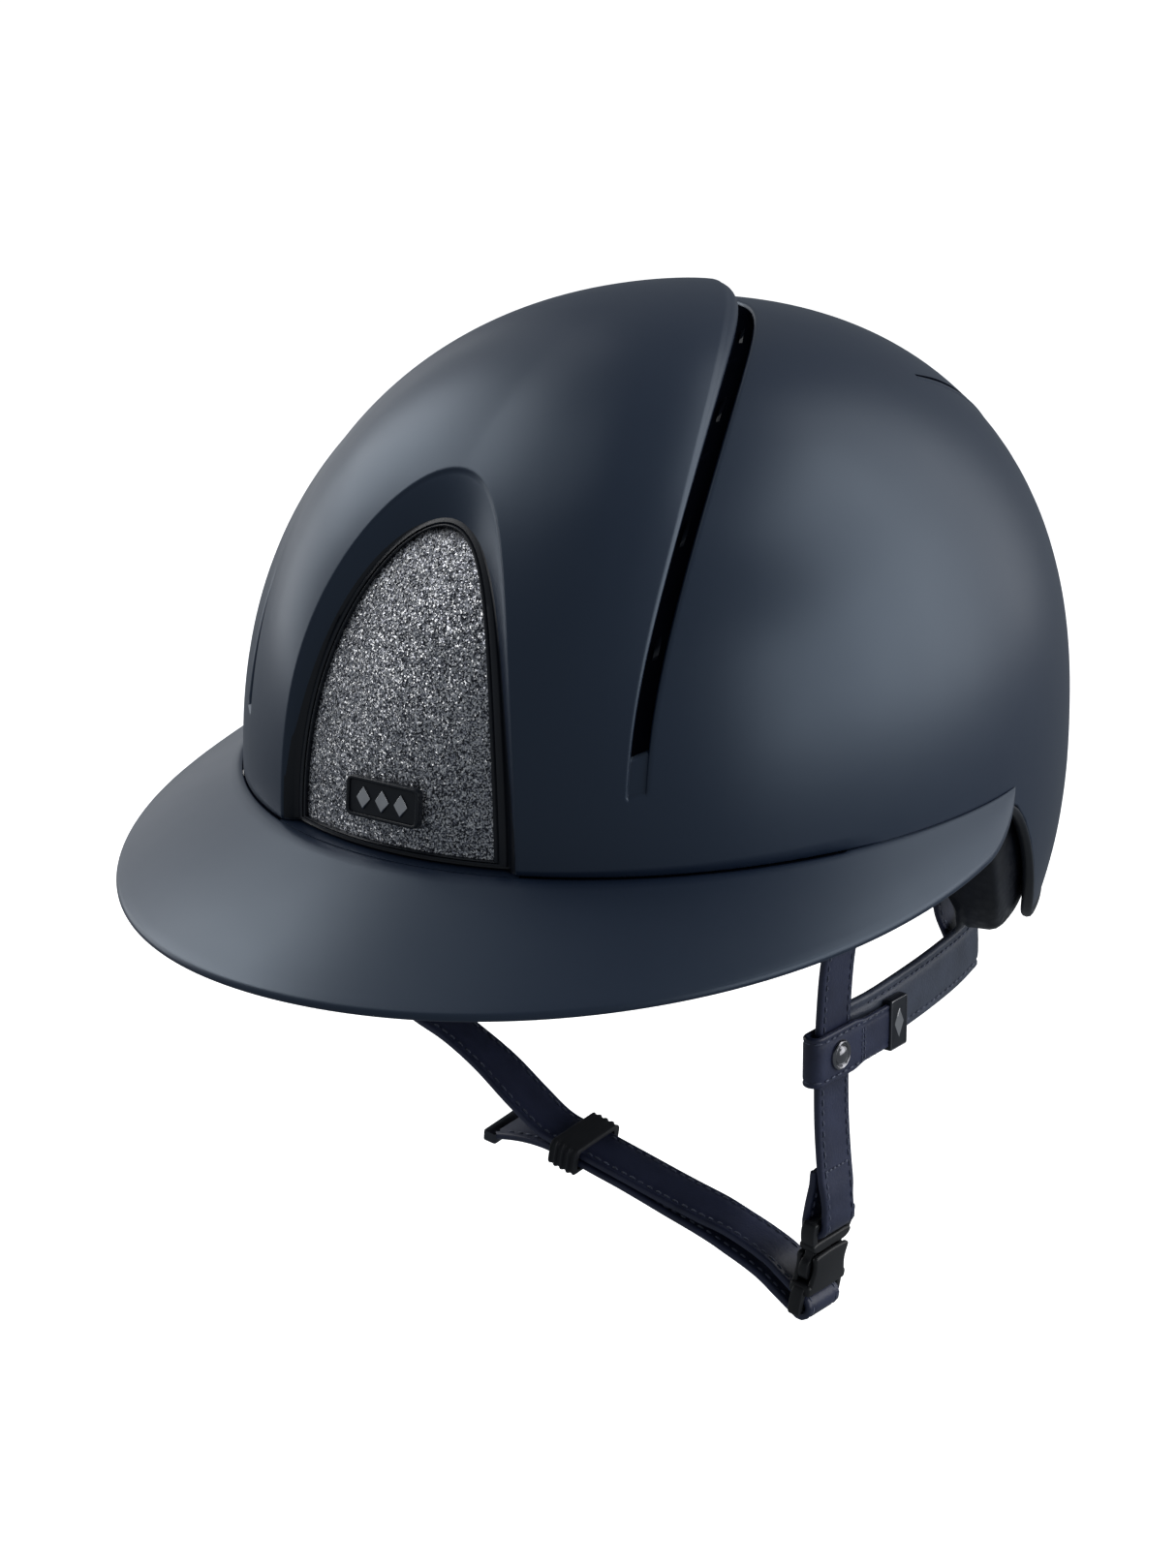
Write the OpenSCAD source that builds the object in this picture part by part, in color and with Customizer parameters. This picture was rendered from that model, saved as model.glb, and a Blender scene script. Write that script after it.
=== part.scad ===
// Equestrian riding helmet with a wide wrap-around brim, a glitter front panel and a
// leather harness. Millimetres, +Z up, the front faces -Y, the wearer's left is +X.
// The origin is the centre of the head opening, level with the brim's root.

/* [Shell] */
// Half of the shell's width, ear to ear
shell_half_w = 110; // [107:1:112]
// Half of the shell's length, front to back
shell_half_l = 133; // [130:1:136]
// Height of the shell above the brim's root
shell_h = 121; // [118:1:124]
// Thickness of the shell's wall
shell_t = 3; // [2.4:0.2:3.4]
// How far the crown's air scoop stands above the dome
scoop_rise = 8; // [6:0.5:10]
// Width of the air slot behind the scoop
slot_w = 5; // [4:0.5:6]

/* [Front panel] */
// Half of the window's width at the brim
window_half_w = 39; // [37:0.5:40]
// Height of the window's arch
window_h = 95; // [90:1:96]
// Width of the dark frame round the glitter panel
frame_w = 4; // [3.5:0.5:5]

/* [Brim] */
// Half of the brim's width
brim_half_w = 121; // [119:0.5:123]
// Front edge of the brim, in front of the origin
brim_front = 182; // [176:1:186]
// Drop of the brim's front edge below its root
brim_drop = 24; // [20:1:28]
// Thickness of the brim
brim_t = 4.2; // [3.6:0.2:5]

/* [Liners] */
// Thickness of the impact liner
impact_t = 18; // [16:1:19]
// Thickness of the comfort pads
pad_t = 5.5; // [4:0.5:6]

/* [Harness] */
// Width of the leather straps
strap_w = 16; // [14:0.5:17]
// Thickness of the leather straps
strap_t = 2.2; // [1.8:0.1:2.4]
// Width of the padded rear straps
rear_strap_w = 18; // [16:0.5:19]
// Diameter of the press-stud caps
snap_d = 10; // [8:0.5:11]

/* [Hidden] */

navy = [0.13, 0.16, 0.22];
leather_navy = [0.10, 0.12, 0.22];
dark_trim = [0.03, 0.035, 0.05];
foam_black = [0.08, 0.08, 0.09];
glitter_grey = [0.42, 0.44, 0.50];
bright_metal = [0.75, 0.75, 0.77];
dark_plastic = [0.12, 0.12, 0.13];

gap = 0.4;              // clearance between fitted pieces
layer_gap = 1.5;        // clearance between the shell, the impact liner and the pads
dome_power = 2.31;      // roundness of the dome's upright sections
rim_front_z = -4;       // shell rim in front of the ears
rim_rear_z = -50;       // shell rim behind the ears
ear_front = 94;         // angle round the dome where the ear cut-out starts, from the front
ear_rear = 114;         // angle where the ear cut-out reaches the rear rim
impact_out = -(shell_t + layer_gap);
impact_in = impact_out - impact_t;
pad_out = impact_in - layer_gap;
pad_in = pad_out - pad_t;

// ---------------------------------------------------------------- shared functions

function signed_pow(v, e) = sign(v) * pow(abs(v), e);
function smooth(t) = let(c = min(1, max(0, t))) c * c * (3 - 2 * c);
function unit(v) = v / norm(v);
function mirror_x(p) = [-p[0], p[1], p[2]];
function flatten(rows) = [for (row = rows) each row];

// Point of the dome, grown outwards by off. th runs round from the front over the left,
// and ph down from the crown.
function dome(th, ph, off = 0) =
    let(r = pow(sin(ph), 2 / dome_power))
    [(shell_half_w + off) * sin(th) * r,
     -(shell_half_l + off) * cos(th) * r,
     (shell_h + off) * signed_pow(cos(ph), 2 / dome_power)];

// Angle ph of the dome at height z
function ph_at(z, off = 0) = acos(signed_pow(z / (shell_h + off), dome_power / 2));

function dome_normal(th, ph) =
    let(d = 0.2)
    unit(cross(dome(th, ph + d) - dome(th, ph - d), dome(th + d, ph) - dome(th - d, ph)));

// Height of the shell's rim round the head
function rim_z(th) =
    rim_front_z + (rim_rear_z - rim_front_z) * smooth((abs(th) - ear_front) / (ear_rear - ear_front));

// The scoop's rear edge: an arch from one temple over the crown to the other. alpha is
// the angle from the front, and roll the angle from upright.
scoop_temple = 34.6;
scoop_reach = 67;
scoop_spread = 34.7;
scoop_power = 1.63;
lip_fall = 2;           // how far the scoop's surface turns down again at its rear edge
slot_end_ph = 79;
slot_end_roll = 66;
function scoop_alpha(roll) = scoop_temple + scoop_reach * exp(-pow(roll / scoop_spread, scoop_power));
function direction(th, ph) =
    let(r = pow(sin(ph), 2 / dome_power))
    unit([sin(th) * r, -cos(th) * r, signed_pow(cos(ph), 2 / dome_power)]);
function alpha_of(d) = acos(-d[1]);
function roll_of(d) = atan2(abs(d[0]), d[2]);
function behind_scoop(th, ph) = let(d = direction(th, ph)) alpha_of(d) - scoop_alpha(roll_of(d));

// Where column th crosses the scoop's edge
function find_edge(th, lo, hi, n) =
    n == 0 ? (lo + hi) / 2 :
    let(mid = (lo + hi) / 2)
    behind_scoop(th, mid) < 0 ? find_edge(th, mid, hi, n - 1) : find_edge(th, lo, mid, n - 1);
function edge_ph(th) = abs(th) < scoop_temple ? slot_end_ph
    : min(slot_end_ph, find_edge(abs(th), 1, 89, 14));

// 1 along the open slot, 0 past its lower ends
function slot_open(th, ph) = 1 - smooth((roll_of(direction(th, ph)) - slot_end_roll + 8) / 8);

// Height of the scoop above the dome
function scoop_lift(th, ph) =
    let(d = direction(th, ph), roll = roll_of(d))
    exp(-pow(roll / 38.5, 2)) * (scoop_rise * smooth((alpha_of(d) / scoop_alpha(roll) - 0.3) / 0.5)
        - lip_fall * pow(max(0, alpha_of(d) / scoop_alpha(roll) - 0.85) / 0.15, 2));

// Unit step across the slot, away from the crown, at the scoop's edge
function slot_side(th) =
    let(d = 0.3, ph = edge_ph(th),
        along = dome(th + d, edge_ph(th + d)) - dome(th - d, edge_ph(th - d)))
    unit(cross(along, dome_normal(th, ph)));

// ---------------------------------------------------------------- solids from point grids

// A closed solid between two matching grids of points. keep(i, j) says which cells are
// solid. Columns may wrap, and the first row may be a pole.
module grid_solid(outer, inner, wrap = true, pole = false, keep = function(i, j) true) {
    rows = len(outer);
    cols = len(outer[0]);
    cells = wrap ? cols : cols - 1;
    o = function(i, j) pole && i == 0 ? 0 : i * cols + j % cols;
    n = function(i, j) rows * cols + (pole && i == 0 ? 0 : i * cols + j % cols);
    kept = function(i, j)
        i >= 0 && i < rows - 1 && (wrap || (j >= 0 && j < cells)) && keep(i, (j + cells) % cells);
    faces = [for (i = [0:rows - 2], j = [0:cells - 1]) if (kept(i, j)) each concat(
        pole && i == 0 ? [] : [[o(i, j), o(i, j + 1), o(i + 1, j + 1)],
            [n(i, j), n(i + 1, j + 1), n(i, j + 1)]],
        [[o(i, j), o(i + 1, j + 1), o(i + 1, j)], [n(i, j), n(i + 1, j), n(i + 1, j + 1)]],
        kept(i + 1, j) ? [] : [[o(i + 1, j), o(i + 1, j + 1), n(i + 1, j + 1)],
            [o(i + 1, j), n(i + 1, j + 1), n(i + 1, j)]],
        kept(i - 1, j) || (pole && i == 0) ? []
            : [[o(i, j + 1), o(i, j), n(i, j)], [o(i, j + 1), n(i, j), n(i, j + 1)]],
        kept(i, j + 1) ? [] : [[o(i + 1, j + 1), o(i, j + 1), n(i, j + 1)],
            [o(i + 1, j + 1), n(i, j + 1), n(i + 1, j + 1)]],
        kept(i, j - 1) ? [] : [[o(i, j), o(i + 1, j), n(i + 1, j)], [o(i, j), n(i + 1, j), n(i, j)]])];
    polyhedron(concat(flatten(outer), flatten(inner)), faces);
}

// A closed solid along a row of matching rings, each drawn clockwise seen from its start
module sweep(rings, loop = false) {
    n = len(rings);
    k = len(rings[0]);
    last = loop ? n - 1 : n - 2;
    sides = [for (i = [0:last], j = [0:k - 1]) each
        let(a = i * k + j, b = i * k + (j + 1) % k, c = ((i + 1) % n) * k + (j + 1) % k,
            d = ((i + 1) % n) * k + j)
        [[a, c, b], [a, d, c]]];
    ends = loop ? [] : [for (j = [1:k - 2])
        each [[0, j, j + 1], [(n - 1) * k, (n - 1) * k + j + 1, (n - 1) * k + j]]];
    polyhedron(flatten(rings), concat(sides, ends));
}

// Cubic through p1 and p2
function curve_point(p0, p1, p2, p3, t) =
    0.5 * (2 * p1 + (p2 - p0) * t + (2 * p0 - 5 * p1 + 4 * p2 - p3) * t * t
        + (3 * p1 - p0 - 3 * p2 + p3) * t * t * t);
function curve(p, steps) =
    let(n = len(p), q = concat([2 * p[0] - p[1]], p, [2 * p[n - 1] - p[n - 2]]))
    concat([for (i = [0:n - 2], s = [0:steps - 1])
        curve_point(q[i], q[i + 1], q[i + 2], q[i + 3], s / steps)], [p[n - 1]]);

// Rings of a flat strap along a path. wide is the strap's width direction, or one per point.
function strap_rings(path, wide, w, t) =
    let(n = len(path))
    [for (i = [0:n - 1])
        let(along = unit(path[min(i + 1, n - 1)] - path[max(i - 1, 0)]),
            side = is_list(wide[0]) ? wide[i] : wide,
            across = unit(side - along * (side * along)),
            up = cross(along, across),
            a = across * w / 2, b = up * t / 2)
        [path[i] + a + b, path[i] - a + b, path[i] - a - b, path[i] + a - b]];
module strap(path, wide, w = strap_w, t = strap_t) sweep(strap_rings(path, wide, w, t));

// A faceted shell and its cuts are kept as one mesh. Zeros leave the size as it is.
module one_mesh() resize([0, 0, 0]) children();

// Parts that come in mirror-image pairs
module on_side(left) {
    if (left) children();
    else mirror([1, 0, 0]) children();
}

// ---------------------------------------------------------------- shell

// Columns are closest together where the scoop's edge runs down to the temples
half_columns = concat([for (k = [0:5]) k * 6], [for (k = [0:8]) scoop_temple + 0.2 + k * 2.2],
    [for (k = [0:8]) 55 + k * 14]);
columns = concat([for (th = half_columns) th], [180],
    [for (k = [len(half_columns) - 1:-1:1]) -half_columns[k]]);
crown_rows = 8;
side_rows = 9;

function crown_point(th, s, off) = let(ph = edge_ph(th) * s) dome(th, ph, off) + scoop_lift(th, ph)
    * dome_normal(th, max(ph, 0.5));
function slot_point(th, step) =
    let(ph = edge_ph(th))
    dome(th, ph) + slot_side(th) * (step * slot_open(th, ph) + 0.3);
function rear_start(th) =
    let(ph = edge_ph(th), d = 0.2, p = slot_point(th, slot_w) - dome(th, ph),
        a = (dome(th + d, ph) - dome(th - d, ph)) / (2 * d), b =
            (dome(th, ph + d) - dome(th, ph - d)) / (2 * d))
    [th + (p * a) / (a * a), ph + (p * b) / (b * b)];
function side_point(th, s, off) =
    let(start = rear_start(th), last = ph_at(rim_z(th)))
    dome(start[0] + (th - start[0]) * s, start[1] + (last - start[1]) * s, off);
function shell_grid(off) = concat(
    [for (i = [0:crown_rows]) [for (th = columns) crown_point(th, i / crown_rows, off)]],
    [[for (th = columns) slot_point(th, 0) + off * dome_normal(th, edge_ph(th))]],
    [for (i = [0:side_rows]) [for (th = columns) side_point(th, i / side_rows, off)]]);

// An upright arch, seen from the front, as deep as the shell's front
module arch(half_w, h) translate([0, -60, 0]) rotate([90, 0, 0]) linear_extrude(90)
    polygon([for (a = [180:-7.5:0]) [half_w * cos(a), max(panel_foot - gap, h * sin(a))]]);

// The rear vents run back and down from behind the crown, one each side
rear_vent_route = [[122, 34], [131, 39], [141, 47], [151, 58], [160, 70]];
function rear_vent_path(off) = [for (q = curve(rear_vent_route, 3)) dome(q[0], q[1], off)];
module rear_vent_cut() {
    top = rear_vent_path(6);
    low = rear_vent_path(-8);
    sweep([for (i = [3:len(top) - 1])
        let(along = unit(top[min(i + 1, len(top) - 1)] - top[i - 1]), up = unit(top[i] - low[i]),
            side = cross(along, up) * (0.6 + 1.6 * smooth((i - 3) / 5)))
        [top[i] + side, low[i] + side, low[i] - side, top[i] - side]]);
}

// The sloping wall of the recess, from the window's edge down to the frame
module recess_wall() {
    outer = arch_points(window_half_w + 0.6, window_h + 0.6, 1);
    inner = arch_points(frame_half_w + gap, frame_h + gap, 1);
    sweep([for (k = [0:len(outer) - 1])
        [front_point(outer[k][0], outer[k][1], 0.4), front_point(outer[k][0], outer[k][1], 2.8),
         front_point(inner[k][0], inner[k][1], panel_depth + 2),
             front_point(inner[k][0], inner[k][1], panel_depth - 0.6)]]);
}
module outer_shell() color(navy) one_mesh() { skin(); recess_wall(); }
module skin() difference() {
    slot_cols = function(j) slot_open(columns[j], edge_ph(columns[j])) > 0.9
        && slot_open(columns[(j + 1) % len(columns)], edge_ph(columns[(j + 1) % len(columns)])) > 0.9;
    grid_solid(shell_grid(0), shell_grid(-shell_t), pole = true,
        keep = function(i, j) !(i == crown_rows + 1 && slot_cols(j)));
        arch(window_half_w, window_h);
    rear_vent_cut();
    mirror([1, 0, 0]) rear_vent_cut();
}

// A soft edge clipped under the shell's rim
rim_columns = [for (th = [0:7.5:352.5]) th > 180 ? th - 360 : th];
module rim_binding() color(dark_trim) sweep([for (th = rim_columns)
    let(ph = ph_at(rim_z(th)), p = dome(th, ph, -shell_t / 2), out = dome_normal(th, 90), z = -gap)
    [p + out * 1.6 + [0, 0, z], p + out * 1.2 + [0, 0, z - 2.4], p - out * 1.2 + [0, 0, z - 2.4], p
        - out * 1.6 + [0, 0, z]]],
    loop = true);

// ---------------------------------------------------------------- brim

brim_end = 96;          // angle round the dome where the brim's tip ends
brim_round = 7;         // angle over which the tip is rounded off
brim_centre_y = -36.8;
brim_edge_z = -12.5;    // height of the brim's edge at its widest
brim_edge_power = 1.5;
function brim_outer(th) =
    let(t = th * 104 / 95, y = brim_centre_y - (brim_front + brim_centre_y) * cos(t),
        s = (y + brim_front) / (brim_front + brim_centre_y))
    [brim_half_w * sin(t), y, -brim_drop + (brim_edge_z + brim_drop) * pow(s, brim_edge_power)];
function brim_width(th) = sqrt(max(0.04, 1 - pow(max(0, abs(th) - brim_end + brim_round) / brim_round, 2)));
function brim_ring(th) =
    let(a = dome(th, 90, gap + 0.1), b = a + (brim_outer(th) - a) * brim_width(th),
        run = b - a, up = [0, 0, 1], out = unit([run[0], run[1], 0]))
    [a + up * 0.2, a + run * 0.35 + up * (0.9 * brim_width(th)), a + run * 0.7 + up
        * (1.4 * brim_width(th)), b - out * 2 + up * 0.9, b,
     b - out * 1.2 - up * (brim_t * 0.55), b - out * 4 - up * (brim_t * 0.75), a + run * 0.5 - up
         * (brim_t * 0.8), a - up * brim_t];
module brim() color(navy) sweep([for (th = [-brim_end:4:brim_end]) brim_ring(th)]);

// A dark seal in the joint between the shell and the brim
gasket_end = 65;
module brim_gasket() color(dark_trim) sweep([for (th = [-gasket_end:5:gasket_end])
    let(a = dome(th, 90, gap / 2 - 0.1), out = dome_normal(th, 90))
    [a + out * 1.5 + [0, 0, 1.7], a + out * 1.6 + [0, 0, 0.5], a + [0, 0, 0.5], a + [0, 0, 1.7]]]);

// Screws that hold the brim's root to the shell, their heads under the brim
brim_screw_angles = [-60, -22, 22, 60];
module brim_screws() color(bright_metal) for (th = brim_screw_angles)
    translate(dome(th, 90, 5) + [0, 0, -brim_t - 3.2]) {
        cylinder(d = 7, h = 1.6, $fn = 32);
        cylinder(d = 3, h = 2.4, $fn = 24);
    }

// ---------------------------------------------------------------- front panel

// Front surface of the dome at x and z, set back by depth
function front_y(x, z, depth) =
    let(k = pow(1 - pow(z / (shell_h - depth), dome_power), 2 / dome_power))
    -(shell_half_l - depth) * sqrt(k - pow(x / (shell_half_w - depth), 2));
function front_point(x, z, depth) = [x, front_y(x, z, depth), z];
panel_foot = 2.2;        // height of the panel's lower edge
panel_depth = 4.6;       // how far the panel lies behind the dome's surface
panel_t = 1.6;
frame_half_w = window_half_w - 2.4;
frame_h = window_h - 9;
panel_half_w = frame_half_w - frame_w;
panel_h = frame_h - 2.6;
function arch_points(half_w, h, foot) = [for (a = [0:7.5:180]) [half_w * cos(a), max(foot, h * sin(a))]];

module front_panel() color(glitter_grey) {
    edge = arch_points(panel_half_w - gap, panel_h - gap, panel_foot + 2.4);
    rows = function(depth) [for (s = [0, 0.3, 0.6, 0.85, 1]) [for (p = edge)
        front_point(p[0] * s, panel_foot + 2.4 + (p[1] - panel_foot - 2.4) * s, depth)]];
    grid_solid(rows(panel_depth), rows(panel_depth + panel_t), wrap = false, pole = true);
}

// The dark frame: an arch of rectangular section with a foot bar
module panel_frame() color(dark_trim) {
    outer = arch_points(frame_half_w, frame_h, panel_foot);
    inner = arch_points(panel_half_w, panel_h, panel_foot + 2.2);
    foot = [for (k = [1:7]) k / 8];
    o = concat(outer, [for (f = foot) [-frame_half_w * (1 - 2 * f), panel_foot]]);
    i = concat(inner, [for (f = foot) [-panel_half_w * (1 - 2 * f), panel_foot + 2.2]]);
    sweep([for (k = [0:len(o) - 1])
        [front_point(o[k][0], o[k][1], panel_depth - 1),
        front_point(o[k][0], o[k][1], panel_depth + panel_t),
        front_point(i[k][0], i[k][1], panel_depth + panel_t),
            front_point(i[k][0], i[k][1], panel_depth - 0.8)]], loop = true);
}

// A blank rounded plate on the panel, with three raised lozenges
badge = [24, 11, 1.4];
badge_z = 14;
module on_panel() translate(front_point(0, badge_z, panel_depth)) rotate([90 - 5, 0, 0]) children();
module rounded_plate(size, r) {
    translate([-size[0] / 2, -size[1] / 2 + r, 0]) cube([size[0], size[1] - 2 * r, size[2]]);
    translate([-size[0] / 2 + r, -size[1] / 2, 0]) cube([size[0] - 2 * r, size[1], size[2]]);
    for (x = [-1, 1], y = [-1, 1]) translate([x * (size[0] / 2 - r), y * (size[1] / 2 - r), 0])
        cylinder(r = r, h = size[2], $fn = 32);
}
module badge_plate() color(dark_trim) translate([0, 0, gap]) on_panel() translate([0, 0, 1.4])
    rounded_plate(badge, 1.6);
module badge_emblem() color(bright_metal) translate([0, 0, gap]) on_panel() for (k = [-1:1])
    translate([k * 6.2, 0, 1.4 + badge[2]]) linear_extrude(0.6)
        polygon([[-2.3, 0], [0, -3.2], [2.3, 0], [0, 3.2]]);

// ---------------------------------------------------------------- vents

// The grille lies under the slot, on the impact liner
grille_reach = 58;
function grille_columns() =
    [for (th = columns) if (slot_open(th, edge_ph(th)) > 0.9) th > 0 ? th : th + 360];
function sorted_grille() = let(c = grille_columns())
    concat([for (v = c) if (v <= 180) v], [for (v = c) if (v > 180) v]);
module crown_grille() color(dark_trim) sweep([for (a = sorted_grille())
    let(th = a > 180 ? a - 360 : a, ph = edge_ph(th), n = dome_normal(th, ph), side = slot_side(th),
        p = dome(th, ph, impact_out + layer_gap) + side * (slot_w / 2 + 0.3), half = side
            * (slot_w / 2 - 0.5))
    [p + half + n, p + half, p - half, p - half + n]]);

module rear_grille() color(dark_trim) {
    mid = rear_vent_path(-shell_t + 0.6);
    low = rear_vent_path(-shell_t - gap / 2);
    sweep([for (i = [4:len(mid) - 1])
        let(along = unit(mid[min(i + 1, len(mid) - 1)] - mid[i - 1]), up = unit(mid[i] - low[i]),
            side = cross(along, up) * (0.3 + 1.4 * smooth((i - 3) / 5)))
        [mid[i] + side, low[i] + side, low[i] - side, mid[i] - side]]);
}
module rear_grille_left() on_side(true) rear_grille();
module rear_grille_right() on_side(false) rear_grille();

// ---------------------------------------------------------------- liners

liner_columns = [for (th = [0:9:351]) th > 180 ? th - 360 : th];
liner_lead = 8;         // the liners reach this many degrees further forward at the ears
liner_front_z = -1;
liner_rear_z = -51;
function liner_z(th) = liner_front_z
    + (liner_rear_z - liner_front_z) * smooth((abs(th) - ear_front + liner_lead) / (ear_rear - ear_front));
function layer(off, ph_from, rows) =
    [for (i = [0:rows]) [for (th = liner_columns) let(last = ph_at(liner_z(th), off))
        dome(th, ph_from + (last - ph_from) * i / rows, off)]];
// The impact liner has a pocket behind the front panel
pocket_depth = panel_depth + 2 + gap;
module impact_liner() color(foam_black) one_mesh() difference() {
    grid_solid(layer(impact_out, 0, 9), layer(impact_in, 0, 9), pole = true);
    difference() {
        arch(window_half_w + 1.2, window_h + 1.6);
        hull() grid_solid(layer(-pocket_depth, 0, 9), layer(-pocket_depth - 5, 0, 9), pole = true);
    }
}
headband_rear_z = -28;
module crown_pad() color(dark_trim) {
    reach = 52;
    rows = function(off) [for (i = [0:5]) [for (th = liner_columns) dome(th, reach * i / 5, off)]];
    grid_solid(rows(pad_out), rows(pad_out - pad_t * 0.7), pole = true);
}
module headband_pad() color(dark_trim) {
    rows = function(off) [for (i = [0:4]) [for (th = liner_columns)
        let(last = ph_at(max(liner_z(th), headband_rear_z) + 2, off))
            dome(th, 58 + (last - 58) * i / 4, off)]];
    grid_solid(rows(pad_out), rows(pad_in));
}

// A pad behind the nape, below the headband
module nape_pad() color(leather_navy) {
    rows = function(off) [for (z = [-31, -37, -43]) [for (th = [145:7:215])
        dome(th > 180 ? th - 360 : th, ph_at(z, off), off)]];
    grid_solid(rows(pad_out), rows(pad_in), wrap = false);
}

// ---------------------------------------------------------------- hangers and rivets

pivot = [84, -26, -14];         // the rivet that the harness swings about, on the left
pivot_r = 2;
hanger_x = pivot[0] + 1.9;      // middle of the front hanger's sheet
module front_hanger() color(dark_trim) difference() {
    union() {
        translate([hanger_x - 0.8, pivot[1] - 8, pivot[2]]) cube([1.6, 16, -pivot[2] - 1.4]);
        translate([hanger_x - 0.8, pivot[1], pivot[2]]) rotate([0, 90, 0])
            cylinder(r = 8, h = 1.6, $fn = 48);
    }
    translate([hanger_x - 3, pivot[1], pivot[2]]) rotate([0, 90, 0]) cylinder(r = pivot_r, h = 6, $fn = 32);
}
module front_hanger_left() on_side(true) front_hanger();
module front_hanger_right() on_side(false) front_hanger();

module pivot_rivet() color(bright_metal) translate([pivot[0], pivot[1], pivot[2]]) rotate([0, 90, 0]) {
    translate([0, 0, -2.7]) cylinder(r = pivot_r, h = 5.4, $fn = 32);
    translate([0, 0, 2.7]) cylinder(r = 4, h = 0.9, $fn = 40);
    translate([0, 0, -3.7]) cylinder(r = 4, h = 1, $fn = 40);
}
module pivot_rivet_left() on_side(true) pivot_rivet();
module pivot_rivet_right() on_side(false) pivot_rivet();

rear_hanger_route = [[66.5, 48.5, -31], [65.2, 48.5, -42], [64.2, 50.5, -53],
    [65.4, 55.5, -65], [65.8, 57, -76]];
rear_wide = unit([-0.3, 1, 0]);
module rear_hanger() color(leather_navy) strap(curve(rear_hanger_route, 3), rear_wide, 17, 1.8);
module rear_hanger_left() on_side(true) rear_hanger();
module rear_hanger_right() on_side(false) rear_hanger();

// Small rivets that fix the rear hangers to the liner
module hanger_rivets() color(bright_metal) for (left = [true, false]) on_side(left)
    translate([66.2, 48.6, -36]) rotate([0, 90, 17]) cylinder(r = 3, h = 1, $fn = 32);

// ---------------------------------------------------------------- harness

// The left front strap hangs from its rivet and folds round the buckle's bar
bar = [75.4, pivot[1], -123];   // middle of the buckle's upper bar
bar_r = 1.8;
fold_r = bar_r + strap_t / 2 + 0.3;
front_route = [[84, -14], [80.6, -28], [77.2, -44], [75.9, -60], [75.5, -76], [75.8, -92], [76.9, -106],
    [78, -114]];
return_route = [[73.1, -115], [73.6, -108]];
function upright(p) = [p[0], pivot[1], p[1]];
fold_points = [for (a = [10:-32:-182]) [bar[0] + fold_r * cos(a), bar[2] + fold_r * sin(a)]];
front_path = concat(curve([for (p = front_route) upright(p)], 3), [for (p = fold_points) upright(p)],
    [for (p = return_route) upright(p)]);
across = [0, 1, 0];
module front_strap_left() color(leather_navy) difference() {
    union() {
        strap(front_path, across);
        translate([pivot[0] - strap_t / 2, pivot[1], pivot[2]]) rotate([0, 90, 0])
            cylinder(r = strap_w / 2, h = strap_t - 0.01, $fn = 48);
    }
    translate([pivot[0] - 4, pivot[1], pivot[2]]) rotate([0, 90, 0])
        cylinder(r = pivot_r + 0.08, h = 8, $fn = 32);
}

// The padded rear strap runs forward from its hanger to the front strap
tab_z = -72.8;
rear_strap_t = 2.6;
rear_route = [[68.9, 60, -67.2], [71.2, 46, -68.4], [73.6, 26, -69], [74.7, 6, -69.8],
    [74.3, -6, -70.8], [72.9, -15, -71.6]];
module rear_strap() color(leather_navy) strap(curve(rear_route, 4), [0, 0, 1], rear_strap_w, rear_strap_t);
module rear_strap_left() on_side(true) rear_strap();
module rear_strap_right() on_side(false) rear_strap();

// A fold of leather round the front strap: its inner leaf and its front turn
tab_h = 15;
tab_t = 1.6;
tab_front = pivot[1] - strap_w / 2 - 1.2;
tab_in_x = 73.2;
tab_out_x = 78.1;
tab_mid_x = (tab_in_x + tab_out_x) / 2;
tab_turn = [for (a = [180:30:360])
    [tab_mid_x + (tab_out_x - tab_in_x) / 2 * cos(a), tab_front + 2.2 * sin(a), tab_z]];
module tab_loop() color(leather_navy)
    strap(concat([[tab_in_x, -16.4, tab_z], [tab_in_x, -24, tab_z]], tab_turn), [0, 0, 1], tab_h, tab_t);
module tab_loop_left() on_side(true) tab_loop();
module tab_loop_right() on_side(false) tab_loop();

// The outer leaf opens about the front turn, and its press stud closes it
tab_hinge = [tab_out_x, tab_front, tab_z];
snap_y = -27;
leaf_end = 6;
leaf_gap = 1.3;         // room for the leaf to fold back at the turn
module stud_hole(r) translate([tab_in_x - 4, snap_y, tab_z]) rotate([0, 90, 0])
    cylinder(r = r, h = 12, $fn = 32);
module tab_leaf() color(leather_navy) difference() {
    translate([tab_out_x - tab_t / 2, tab_front + leaf_gap, tab_z - tab_h / 2])
        cube([tab_t, leaf_end - tab_front - leaf_gap, tab_h]);
    stud_hole(2.4);
}
module tab_leaf_left() on_side(true) tab_leaf();
module tab_leaf_right() on_side(false) tab_leaf();
module snap_stud() color(bright_metal) translate([76.8, snap_y, tab_z]) rotate([0, 90, 0]) {
    cylinder(r = 3, h = 0.4, $fn = 32);
    cylinder(r = 1.5, h = 1.6, $fn = 32);
}
module snap_stud_left() on_side(true) snap_stud();
module snap_stud_right() on_side(false) snap_stud();

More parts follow.
